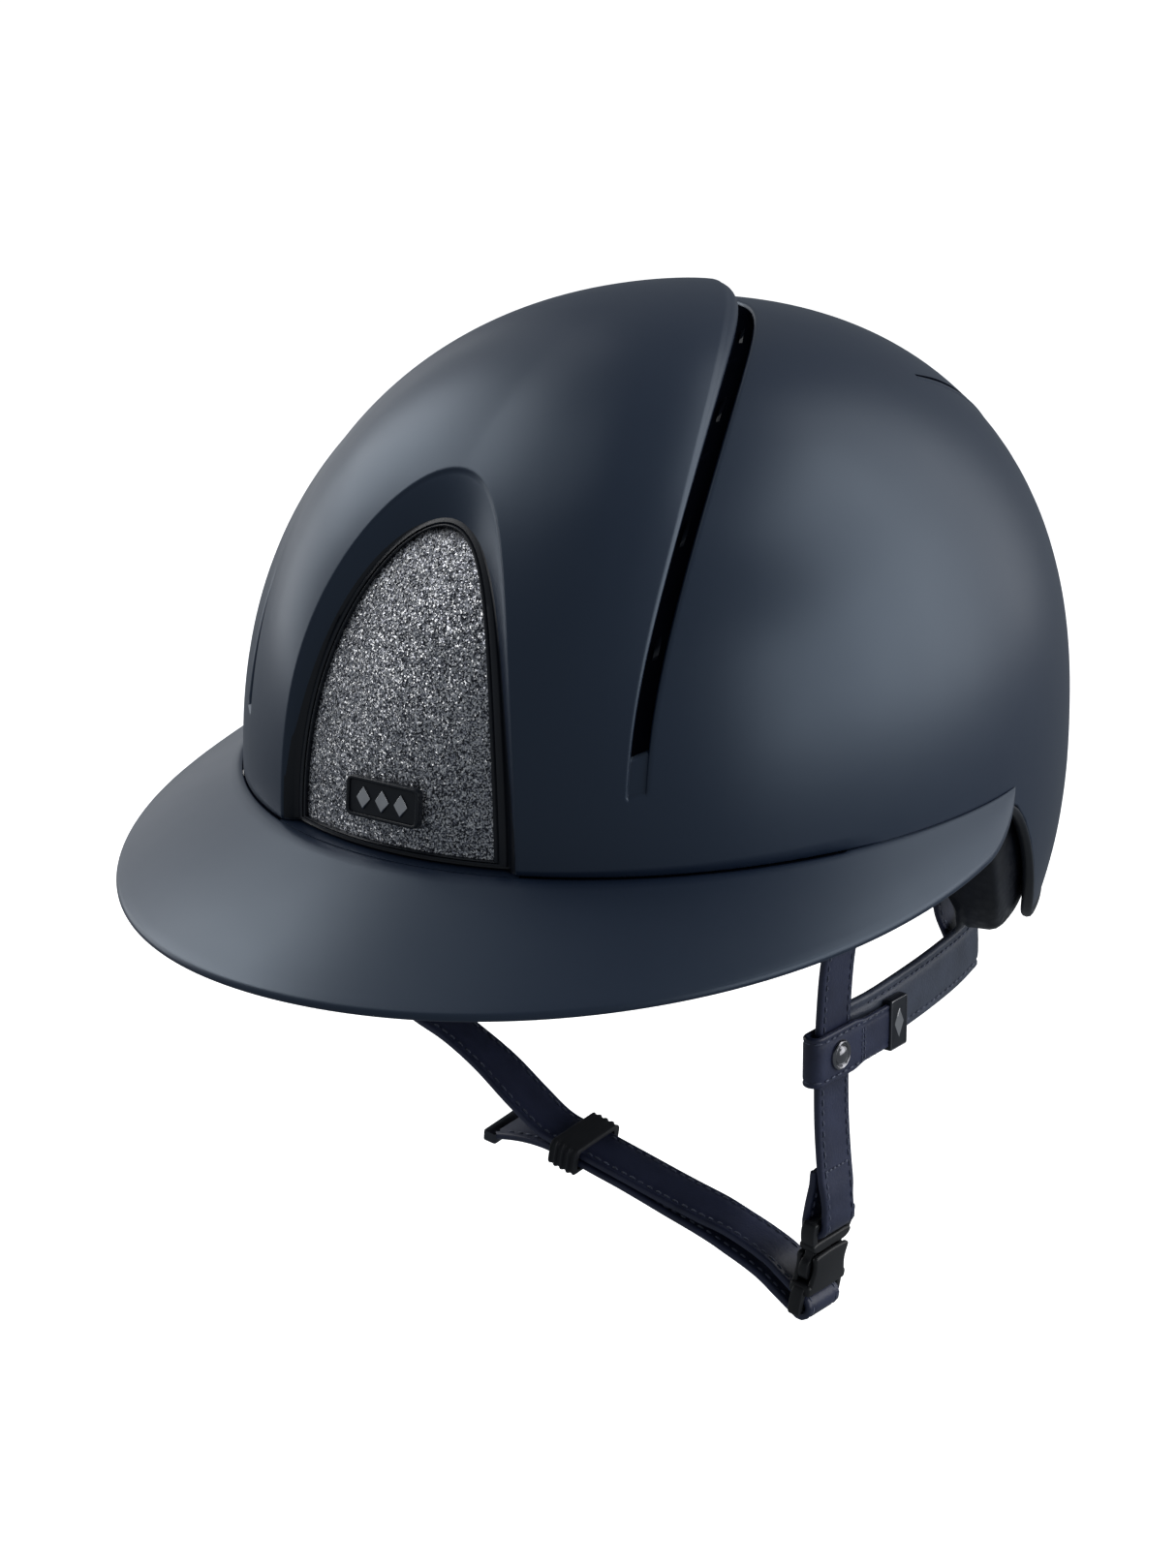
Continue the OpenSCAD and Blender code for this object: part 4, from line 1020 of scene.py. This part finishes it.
def stitches(path, wide, offset, height, start, stop, spacing=3.1, length=2.1, radius=0.3):
    """A row of small raised stitches along a path, offset across it and lying at a height."""
    fine, at = even(path, 0.4)
    across, up = frames(fine, wide)
    verts, faces = [], []
    total = at[-1]
    s = start
    while s + length < total - stop:
        k = min(int(round(s / total * (len(fine) - 1))), len(fine) - 1)
        k2 = min(int(round((s + length) / total * (len(fine) - 1))), len(fine) - 1)
        a = fine[k] + across[k] * offset + up[k] * height
        b = fine[k2] + across[k2] * offset + up[k2] * height
        mid = (a + b) / 2 + up[k] * math.copysign(0.14, height)
        base = len(verts)
        ring_dirs = [(math.cos(t), math.sin(t)) for t in np.radians(np.arange(0, 360, 60))]
        verts.append(a)
        for centre, size in ((a + (mid - a) * 0.3, 0.8), (mid, 1.0), (b + (mid - b) * 0.3, 0.8)):
            verts += [centre + (across[k] * c + up[k] * d) * radius * size for c, d in ring_dirs]
        verts.append(b)
        for j in range(6):
            n = (j + 1) % 6
            faces.append([base, base + 1 + j, base + 1 + n])
            for ring in (0, 6):
                faces.append([base + 1 + ring + j, base + 1 + ring + n, base + 7 + ring + n,
                              base + 7 + ring + j])
            faces.append([base + 19, base + 13 + n, base + 13 + j])
        s += spacing
    return verts, faces


def band(name, path, wide, width, thick, leather=LEATHER, groove=2.1, pad=0.0, start=3.0, stop=3.0,
         taper=None, step=1.4):
    """A leather band swept along a path, with its stitching, in one mesh."""
    fine, at = even(np.asarray(path, float), step)
    across, up = frames(fine, wide)
    section = np.array(band_section(width, thick, groove, pad))
    # The end rings are a little smaller, which rounds the ends over
    size = np.ones(len(fine))
    size[0] = size[-1] = 0.9
    grow = taper(at / at[-1]) if taper else np.ones(len(fine))
    sideways = section[None, :, :1] * grow[:, None, None] * (0.98 + 0.02 * size)[:, None, None]
    upward = section[None, :, 1:] * size[:, None, None]
    rings = fine[:, None, :] + across[:, None, :] * sideways + up[:, None, :] * upward
    verts = list(rings.reshape(-1, 3))
    faces = tube(rings)
    colour = [0] * len(faces)
    for side, face in ((1, 1), (-1, 1), (1, -1), (-1, -1)):
        v, f = stitches(path, wide, side * (width / 2 - groove), face * (thick / 2 - 0.08), start, stop)
        base = len(verts)
        verts += v
        faces += [[base + i for i in q] for q in f]
        colour += [1] * (len(faces) - len(colour))
    return piece(name, verts, faces, [leather, THREAD], colour, sharp=70)


PIVOT = (84.0, -26.0, -14.0)
ACROSS = (0.0, 1.0, 0.0)
UP = (0.0, 0.0, 1.0)
BAR = np.array([75.4, PIVOT[1], -123.0])
BAR_R = 1.8
TAB_Z, TAB_H, TAB_T = -72.8, 15.0, 1.6
TAB_FRONT, TAB_IN, TAB_OUT = PIVOT[1] - STRAP_W / 2 - 1.2, 73.2, 78.1
SNAP_Y, LEAF_END = -27.0, 6.0
FOLD_R = BAR_R + STRAP_T / 2 + 0.3


def mirrored(path, side):
    """The path as it is for side 1, and on the other side of the helmet for side -1."""
    return np.asarray(path, float) * np.array([side, 1, 1])


def strap_end(side):
    """The strap's rounded upper end, which the rivet goes through."""
    place = Matrix.Translation((PIVOT[0] * side, PIVOT[1], PIVOT[2])) @ Matrix.Rotation(math.radians(90), 4,
                                                                                        "Y")
    a = np.radians(np.linspace(0, 360, 49)[:-1])
    r = STRAP_W / 2
    outline = [(-r * math.cos(t), r * math.sin(t)) for t in a]
    return bevelled("strap_end", outline, -STRAP_T / 2, STRAP_T / 2, 0.6, LEATHER, place)


def front_strap():
    """The left front strap, folded round the buckle's bar and sewn to itself."""
    route = [(84, -14), (80.6, -28), (77.2, -44), (75.9, -60), (75.5, -76), (75.8, -92), (76.9, -106),
             (78, -114)]
    down = catmull([(x, PIVOT[1], z) for x, z in route], 8)
    around = np.radians(np.arange(10, -191, -12))
    fold = [(BAR[0] + FOLD_R * math.cos(a), PIVOT[1], BAR[2] + FOLD_R * math.sin(a)) for a in around]
    back = [(73.1, PIVOT[1], -117.5), (74.5, PIVOT[1], -111), (74.75, PIVOT[1], -107)]
    path = np.concatenate([down, fold, back])

    def waist(s):
        return 1 - 0.1 * np.exp(-((s - 0.77) / 0.035) ** 2)

    strap = band("front_band_left", path, ACROSS, STRAP_W, STRAP_T, start=7, stop=6, taper=waist)
    seam_path = [(77.0, -33.0, -106.8), (77.0, -19.0, -106.8)]
    seam, faces = stitches(np.array(seam_path), UP, 0, STRAP_T / 2 + 0.05, start=0.4, stop=0.2,
                           spacing=2.0, length=1.5, radius=0.32)
    sewn = piece("seam", seam, faces, [THREAD])
    strap = join("front_band_left", [strap, strap_end(1), sewn])
    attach(strap, "harness")
    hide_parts("front_strap_left")


# The chin strap's line, and the buckle's lower bar that it turns round
TILT = math.radians(10)
LOW_BAR_Z, LOW_BAR_R = -26.6, 1.6
LOW_BAR = BAR + np.array([math.sin(TILT) * LOW_BAR_Z, 0, math.cos(TILT) * LOW_BAR_Z])
KEEPER_X, SLOPE, LEVEL = -9.0, -0.24, -120.0
LAYER_DROP = STRAP_T + 0.5
CHIN_TWIST = math.radians(6)
LEAN = unit([0.38 * math.sin(CHIN_TWIST), math.cos(CHIN_TWIST), 0.92 * math.sin(CHIN_TWIST)])


def on_line(x, drop):
    return (x, PIVOT[1], LEVEL + SLOPE * (x - KEEPER_X) - drop)


def chin_strap():
    """The chin strap in one length: rivet, chin, turn round the buckle's bar, back to its free end."""
    y = PIVOT[1]
    right = [(-84, -14), (-80.6, -28), (-77.2, -44), (-75.8, -60), (-75.6, -73), (-75.2, -82), (-72, -88.5),
             (-64.5, -92.6), (-54, -96.4), (-41.2, -103), (-29, -111.4)]
    knots = [(x, y, z) for x, z in right] + [on_line(x, 0) for x in (-19, -9, 0, 10, 24)]
    knots += [(44, y, -132.4), (58, y, -137.4), (64.5, y, -141.6)]
    turn_r = LOW_BAR_R + STRAP_T / 2 + 0.3
    around = np.radians(np.arange(86, -105, -12))
    turn = [(LOW_BAR[0] + turn_r * math.cos(a), y, LOW_BAR[2] + turn_r * math.sin(a)) for a in around]
    back = [(63, y, -147.2), (56, y, -142.7), (42, y, -136.3), on_line(24, LAYER_DROP + 0.5),
            on_line(10, LAYER_DROP), on_line(0, LAYER_DROP), on_line(-9, LAYER_DROP),
            on_line(-18, LAYER_DROP + 0.4), (-27, y, -120.9), (-37, y, -122.4)]
    path = np.concatenate([catmull(knots, 8), turn, catmull(back, 8)])
    x = path[:, 0]
    gone = np.concatenate([[0], np.cumsum(np.linalg.norm(np.diff(path, axis=0), axis=1))])
    turned = smooth((gone - 95) / 30) * (1 - smooth((x - 40) / 16))
    wide = unit(np.array(ACROSS) + (LEAN - np.array(ACROSS)) * turned[:, None])
    strap = band("chin_band", path, wide, STRAP_W, STRAP_T, start=7, stop=4)
    strap = join("chin_band", [strap, strap_end(-1)])
    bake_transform(strap)
    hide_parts("chin_strap", "chin_strap_end", "chin_tail")

    place = (Matrix.Translation((-36.9, y, -122.5)) @ Matrix.Rotation(math.radians(8), 4, "Y")
             @ Matrix.Rotation(CHIN_TWIST, 4, "X"))
    tip = bevelled("tail_clip", rounded(2.3, 8.4, 0.9), -1.75, 1.75, 0.5, CLIP_METAL, place)
    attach(tip, "harness")
    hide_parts("tail_tip")


def rear_straps():
    """Padded straps from the nape forward to the front straps, in a shallow curve."""
    route = [(68.9, 60, -67.2), (71.2, 46, -68.4), (73.6, 26, -69), (74.7, 6, -69.8), (74.3, -6, -70.8),
             (72.9, -15, -71.6)]
    hang = [(66.5, 48.5, -31), (65.2, 48.5, -42), (64.2, 50.5, -53), (65.4, 55.5, -65), (65.8, 57, -76)]
    for side, label in ((1, "left"), (-1, "right")):
        path = mirrored(catmull(route, 10), side)
        strap = band("rear_band_" + label, path, UP, 18.0, 2.6, PAD_LEATHER, groove=2.6, pad=0.45,
                     start=3, stop=8)
        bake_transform(strap)
        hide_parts("rear_strap_" + label)
        wide = unit([-0.3 * side, 1, 0])
        hanger = band("nape_band_" + label, mirrored(catmull(hang, 8), side), wide, 17.0, 1.8, groove=2.0)
        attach(hanger, "helmet")
        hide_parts("rear_hanger_" + label)


def front_hangers():
    """Woven tabs that hang the rivets from the liner."""
    x, top, r = PIVOT[0] + 1.9, -1.6, 7.9
    for side, label in ((1, "left"), (-1, "right")):
        arc = [(-PIVOT[2] + r * math.sin(a), r * math.cos(a)) for a in np.radians(np.arange(0, 181, 9))]
        outline = [(-top, -r), (-top, r)] + arc
        place = Matrix.Translation((x * side, PIVOT[1], 0)) @ Matrix.Rotation(math.radians(90), 4, "Y")
        tab = bevelled("woven_tab_" + label, outline, -0.8, 0.8, 0.35, WEBBING, place)
        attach(tab, "helmet")
        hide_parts("front_hanger_" + label)


def tabs():
    """Each fold of leather round a front strap: inner leaf, front turn and the leaf that opens."""
    mid, half = (TAB_IN + TAB_OUT) / 2, (TAB_OUT - TAB_IN) / 2
    around = np.radians(np.arange(180, 361, 15))
    turn = [(mid + half * math.cos(a), TAB_FRONT + 2.2 * math.sin(a), TAB_Z) for a in around]
    inner = [(TAB_IN, -16.4, TAB_Z), (TAB_IN, -22, TAB_Z), (TAB_IN, -29, TAB_Z)]
    outer = [(TAB_OUT, -30, TAB_Z), (TAB_OUT + 0.1, -22, TAB_Z), (TAB_OUT, -12, TAB_Z),
             (TAB_OUT - 0.2, 0, TAB_Z), (TAB_OUT - 0.2, LEAF_END, TAB_Z)]
    seam_lift = 0.78

    def narrow(s):
        return 1 - 0.14 * smooth((s - 0.62) / 0.1)

    for side, label in ((1, "left"), (-1, "right")):
        path = mirrored(np.concatenate([inner, turn, outer]), side)
        loop = band("tab_band_" + label, path, UP, TAB_H, TAB_T, groove=1.7, start=2, stop=9, taper=narrow,
                    step=0.9)
        seams = []
        for y in (-15.5, -14.2):
            line = mirrored([(TAB_OUT + 0.15, y, TAB_Z - 5.4), (TAB_OUT + 0.15, y, TAB_Z + 5.4)], side)
            v, f = stitches(line, ACROSS, 0, side * seam_lift, start=0.2, stop=0.1, spacing=2.0,
                            length=1.5, radius=0.28)
            v = np.array(v)
            v[:, 0] = side * (TAB_OUT + 0.1 + seam_lift) + (v[:, 0] - v[:, 0].mean())
            seams.append(piece("seam", v, f, [THREAD]))
        loop = join("tab_band_" + label, [loop] + seams)
        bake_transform(loop)
        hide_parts("tab_loop_" + label, "tab_leaf_" + label)
        cap_x = TAB_OUT + TAB_T / 2
        profile = [(1.9, -1.2), (4.3, -0.15), (4.4, 0.25), (4.2, 0.85), (3.8, 1.15), (3.45, 0.95),
                   (3.2, 0.5), (2.9, 0.5),
                   (2.6, 1.0), (1.9, 1.5), (1.0, 1.75), (0.25, 1.82)]
        place = (Matrix.Translation((cap_x * side, SNAP_Y,
                                     TAB_Z)) @ Matrix.Rotation(math.radians(90 * side), 4, "Y"))
        cap = lathe("snap_button_" + label, profile, place, DARK_METAL)
        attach(cap, "tab_" + label)
        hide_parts("snap_cap_" + label)
        tag_label(side, label)


def tag_label(side, label):
    """A folded end plate with a bright edge and one plain lozenge on each face."""
    out = side * (TAB_OUT - 0.1)
    place = (Matrix.Translation((out, LEAF_END - 3, TAB_Z)) @ Matrix.Rotation(math.radians(90), 4, "Y"))
    parts = [bevelled("tag", rounded(7.6, 4.3, 0.7), -1.35, 1.35, 0.4, TRIM, place)]
    section = ((0, 1.1), (0, 1.4), (0.3, 1.5), (0.7, 1.5), (1, 1.4), (1, 1.1))
    for face in (1, -1):
        rings = border(rounded(7.4, 4.1, 0.6), rounded(7.1, 3.8, 0.4), [(t, face * h) for t, h in section],
                       place)
        parts.append(piece("tag_edge", rings.reshape(-1, 3), tube(rings, loop=True), [DARK_METAL]))
        mark = [(-4.4, 0), (0, -2.3), (4.4, 0), (0, 2.3)]
        low, high = (1.1, 1.5) if face > 0 else (-1.5, -1.1)
        parts.append(bevelled("tag_mark", mark, low, high, 0.15, METAL, place))
    tag = join("end_tag_" + label, parts)
    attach(tag, "tab_" + label)
    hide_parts("tab_label_" + label)


# ---------------------------------------------------------------- buckle and keeper

IN_BUCKLE = Matrix.Translation(Vector(BAR)) @ Matrix.Rotation(TILT, 4, "Y")
# Plates are drawn with local X across the buckle and local Y along its drop
FACING = IN_BUCKLE @ Matrix(((0, 0, 1, 0), (1, 0, 0, 0), (0, 1, 0, 0), (0, 0, 0, 1)))


def rod(name, z, radius, length, material):
    """A bar across the buckle, z below its top bar."""
    half = length / 2
    profile = [(radius * 0.7, -half), (radius, -half + 0.4), (radius, half - 0.4), (radius * 0.7, half)]
    place = IN_BUCKLE @ Matrix.Translation((0, 0, z)) @ Matrix.Rotation(math.radians(90), 4, "X")
    return lathe(name, profile, place, material, 28)


def soft_outline(points, steps=5):
    """A closed outline through given points, rounded by a curve."""
    p = np.array(points, float)
    out = []
    n = len(p)
    for i in range(n):
        a, b, c, d = p[i - 1], p[i], p[(i + 1) % n], p[(i + 2) % n]
        for s in range(steps):
            t = s / steps
            near = a * (1 - t) ** 3 + b * (3 * t ** 3 - 6 * t ** 2 + 4)
            out.append(tuple((near + c * (-3 * t ** 3 + 3 * t ** 2 + 3 * t + 1) + d * t ** 3) / 6))
    return out


def buckle():
    """The side-release buckle: a looped tongue, two springy prongs and the housing."""
    parts = [rod("bar", 0, BAR_R, 20, BUCKLE)]
    for s in (-1, 1):
        arm = [(s * 7.4, 1.6), (s * 10.2, 2.0), (s * 11.0, 0), (s * 10.6, -3), (s * 9.2, -6.6), (s * 6.8, -8),
               (s * 6.6, -5.6), (s * 8.0, -3.6)]
        parts.append(bevelled("arm", soft_outline(arm), -2.2, 2.2, 0.9, BUCKLE, FACING))
    bridge = [(-9.6, -4.6), (0, -4.9), (9.6, -4.6), (10.0, -6.4), (8.0, -8.6), (3.2, -8.4), (0, -8.2),
              (-3.2, -8.4), (-8.0, -8.6), (-10.0, -6.4)]
    parts.append(bevelled("bridge", soft_outline(bridge), -2.6, 2.6, 0.9, BUCKLE, FACING))
    guide_at = FACING @ Matrix.Translation((0, -12, 0))
    parts.append(bevelled("guide", rounded(1.9, 5.4, 0.8), -1.5, 1.5, 0.4, BUCKLE, guide_at))
    tongue = join("buckle_loop", parts)
    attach(tongue, "harness")
    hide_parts("buckle_tongue")
    for s, label in ((-1, "front"), (1, "rear")):
        arm = [(s * 4.9, -7.0), (s * 7.3, -6.8), (s * 7.6, -9.6), (s * 8.4, -10.6), (s * 9.7, -11.6),
               (s * 9.9, -13.8), (s * 9.4, -15.9), (s * 7.6, -17.4), (s * 5.2, -17.2), (s * 5.1, -14),
               (s * 5.2, -10)]
        prong = bevelled("prong_arm_" + label, soft_outline(arm), -1.45, 1.45, 0.5, BUCKLE, FACING)
        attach(prong, "prong_" + label)
        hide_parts("prong_" + label)
    parts = []
    plate = [(-4.2, -8.9), (0, -8.6), (4.2, -8.9), (7.9, -9.1), (8.5, -9.9), (8.0, -11.4), (7.4, -14),
             (8.0, -16.8), (8.6, -18.6), (9.0, -21.2), (5.5, -21.6), (-5.5, -21.6), (-9.0, -21.2),
             (-8.6, -18.6), (-8.0, -16.8), (-7.4, -14), (-8.0, -11.4), (-8.5, -9.9), (-7.9, -9.1)]
    for low, high in ((1.85, 3.5), (-3.5, -1.85)):
        parts.append(bevelled("plate", soft_outline(plate, 4), low, high, 0.6, BUCKLE, FACING))
    foot_at = FACING @ Matrix.Translation((0, -20.0, 0))
    parts.append(bevelled("foot", rounded(9.6, 1.7, 1.2), -3.45, 3.45, 0.9, BUCKLE, foot_at))
    for s in (-1, 1):
        ear = [(s * 8.0, -18.6), (s * 9.6, -18.9), (s * 10.8, -20.4), (s * 10.9, -24), (s * 10.8, -27.6),
               (s * 9.6, -28.4), (s * 8.5, -27.4), (s * 8.5, -24), (s * 8.3, -21)]
        parts.append(bevelled("ear", soft_outline(ear), -1.9, 1.9, 0.7, BUCKLE, FACING))
    parts.append(rod("low_bar", LOW_BAR_Z, LOW_BAR_R, 20.6, BUCKLE))
    housing = join("buckle_case", parts)
    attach(housing, "chin_end")
    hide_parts("buckle_housing")


def keeper():
    """A ribbed rubber loop round both layers of the chin strap."""
    length, half_w, half_t = 9.0, STRAP_W / 2 + 2.5, STRAP_T + 2.2
    rib_height, rib_pitch = 0.75, 2.25
    place = (Matrix.Translation(Vector(on_line(KEEPER_X, LAYER_DROP / 2)))
             @ Matrix.Rotation(math.atan(-SLOPE), 4, "Y") @ Matrix.Rotation(CHIN_TWIST, 4, "X")
             @ Matrix.Rotation(math.radians(90), 4, "Y"))
    outer, inner = rounded(half_t, half_w, 2.0, 8), rounded(half_t - 1.35, half_w - 1.9, 1.0, 8)
    stations = np.linspace(-length / 2, length / 2, 45)
    rows = []
    for s in stations:
        rib = rib_height * max(0, math.cos(math.pi * 2 * s / rib_pitch)) ** 0.8
        end = 0.35 * max(0, (abs(s) - length / 2 + 0.6) / 0.6) ** 2
        ring = []
        for x, y in outer:
            side = smooth((abs(y) - half_w * 0.55) / 3.0)
            ring.append((x * (1 - end / half_t), y + math.copysign(float(rib * side), y) - end * y / half_w,
                         s))
        rows.append(ring)
    rows += [[(x, y, s) for x, y in inner] for s in stations[::-1]]
    rows = np.array(rows)
    loop = piece("ribbed_loop", put(rows.reshape(-1, 3), place), tube(rows, loop=True), [RUBBER], sharp=60)
    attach(loop, "keeper")
    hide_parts("strap_keeper")


# ---------------------------------------------------------------- carried-over metal

CARRIED_OVER = ("brim_screws", "pivot_rivet_left", "pivot_rivet_right", "hanger_rivets",
                "snap_stud_left", "snap_stud_right")


def finish_cad_metal():
    """Gives the CAD's own screws, rivets and studs their metal."""
    for node in CARRIED_OVER:
        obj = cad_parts[node]
        obj.data.materials.clear()
        obj.data.materials.append(METAL)


# ---------------------------------------------------------------- stage, light and camera

# The camera, fitted to the helmet's outline in the photograph: its direction from the helmet, its
# distance and offsets in metres, and its lens as a length in pixels of a frame FRAME_HEIGHT high
AZIMUTH, ELEVATION = math.radians(35.47), math.radians(18.73)
DISTANCE = 1.4306
AIM_RIGHT, AIM_UP = -0.02118, -0.01586
FOCAL_PIXELS, FRAME_HEIGHT = 5182.4, 1619
SENSOR = 36
ROOM_LIGHT, ROOM_COLOR = 0.2, (0.86, 0.93, 1, 1)
BOX_DISTANCE, BOX_SIZE = 1.8, 1.0
FLOOR_HALF, FLOOR_DROP, FLOOR_TONE, FLOOR_GLOW = 14, 0.3, (0.9, 0.9, 0.9), 0.9
# Soft boxes round the helmet: azimuth and elevation in degrees, and power in watts, which began
# as a fit to the photograph's tones and was then set one by one
BOXES = [(-85, 40, 9.4), (-85, 10, 5.4), (-115, 10, 1.7), (-115, 40, 1.0), (-55, 68, 1.2), (95, 10, 4.8),
         (125, 10, 6.2), (155, 10, 2.8), (125, 40, 4.6), (155, 40, 3.0)]


def toward(azimuth, elevation):
    """Direction from the helmet, from an azimuth off the front and an elevation in radians."""
    level = math.cos(elevation)
    return Vector((math.sin(azimuth) * level, -math.cos(azimuth) * level, math.sin(elevation)))


def camera():
    """The camera at the photograph's angle."""
    back = toward(AZIMUTH, ELEVATION)
    right = Vector((math.cos(AZIMUTH), math.sin(AZIMUTH), 0))
    up = back.cross(right)
    data = bpy.data.cameras.new("camera")
    data.sensor_fit = "VERTICAL"
    data.sensor_height = SENSOR
    data.lens = SENSOR * FOCAL_PIXELS / FRAME_HEIGHT
    data.clip_end = 50
    obj = bpy.data.objects.new("camera", data)
    scene.collection.objects.link(obj)
    obj.matrix_world = Matrix((right, up, back)).transposed().to_4x4()
    obj.location = back * DISTANCE + right * AIM_RIGHT + up * AIM_UP
    scene.camera = obj


def softbox(azimuth, elevation, power):
    """A square area light that faces the helmet."""
    data = bpy.data.lights.new("box", "AREA")
    data.shape = "RECTANGLE"
    data.size = data.size_y = BOX_SIZE
    data.energy = power
    obj = bpy.data.objects.new("box", data)
    scene.collection.objects.link(obj)
    obj.location = toward(math.radians(azimuth), math.radians(elevation)) * BOX_DISTANCE
    obj.rotation_euler = (-obj.location).to_track_quat("-Z", "Y").to_euler()


def studio():
    """A pale floor that throws no light on the helmet, a dim room and soft boxes round it."""
    scene.view_settings.view_transform = "Standard"
    world = bpy.data.worlds.new("studio")
    world.use_nodes = True
    tree = world.node_tree
    room, seen = tree.nodes["Background"], tree.nodes.new("ShaderNodeBackground")
    room.inputs["Color"].default_value = ROOM_COLOR
    room.inputs["Strength"].default_value = ROOM_LIGHT
    seen.inputs["Color"].default_value = (1, 1, 1, 1)
    path, mix = tree.nodes.new("ShaderNodeLightPath"), tree.nodes.new("ShaderNodeMixShader")
    tree.links.new(path.outputs["Is Camera Ray"], mix.inputs["Fac"])
    tree.links.new(room.outputs[0], mix.inputs[1])
    tree.links.new(seen.outputs[0], mix.inputs[2])
    tree.links.new(mix.outputs[0], tree.nodes["World Output"].inputs["Surface"])
    scene.world = world
    # The floor shines a little itself, so that it stays pale, and is clear from below
    m, tree, b = shader("floor", FLOOR_TONE, 0.9, specular=0.1)
    varied(tree, b, FLOOR_TONE, 3, 0.99, 1.01)
    b.inputs["Emission Color"].default_value = (1, 1, 1, 1)
    b.inputs["Emission Strength"].default_value = FLOOR_GLOW
    clear, side = tree.nodes.new("ShaderNodeBsdfTransparent"), tree.nodes.new("ShaderNodeNewGeometry")
    either = tree.nodes.new("ShaderNodeMixShader")
    tree.links.new(side.outputs["Backfacing"], either.inputs["Fac"])
    tree.links.new(b.outputs[0], either.inputs[1])
    tree.links.new(clear.outputs[0], either.inputs[2])
    tree.links.new(either.outputs[0], tree.nodes["Material Output"].inputs["Surface"])
    half = FLOOR_HALF
    mesh = bpy.data.meshes.new("floor")
    corners = [(-half, -half, 0), (half, -half, 0), (half, half, 0), (-half, half, 0)]
    mesh.from_pydata(corners, [], [(0, 1, 2, 3)])
    mesh.materials.append(m)
    floor = bpy.data.objects.new("floor", mesh)
    floor.location.z = cad_box[0].z - FLOOR_DROP
    floor.visible_diffuse = False
    floor.visible_glossy = False
    floor.visible_shadow = False
    scene.collection.objects.link(floor)
    for azimuth, elevation, power in BOXES:
        softbox(azimuth, elevation, power)


camera()
outer_shell()
crown_grille()
rear_vents()
rim_binding()
brim()
panel_frame()
front_panel()
badge()
impact_liner()
liner_pads()
front_strap()
chin_strap()
rear_straps()
front_hangers()
tabs()
buckle()
keeper()
finish_cad_metal()
studio()
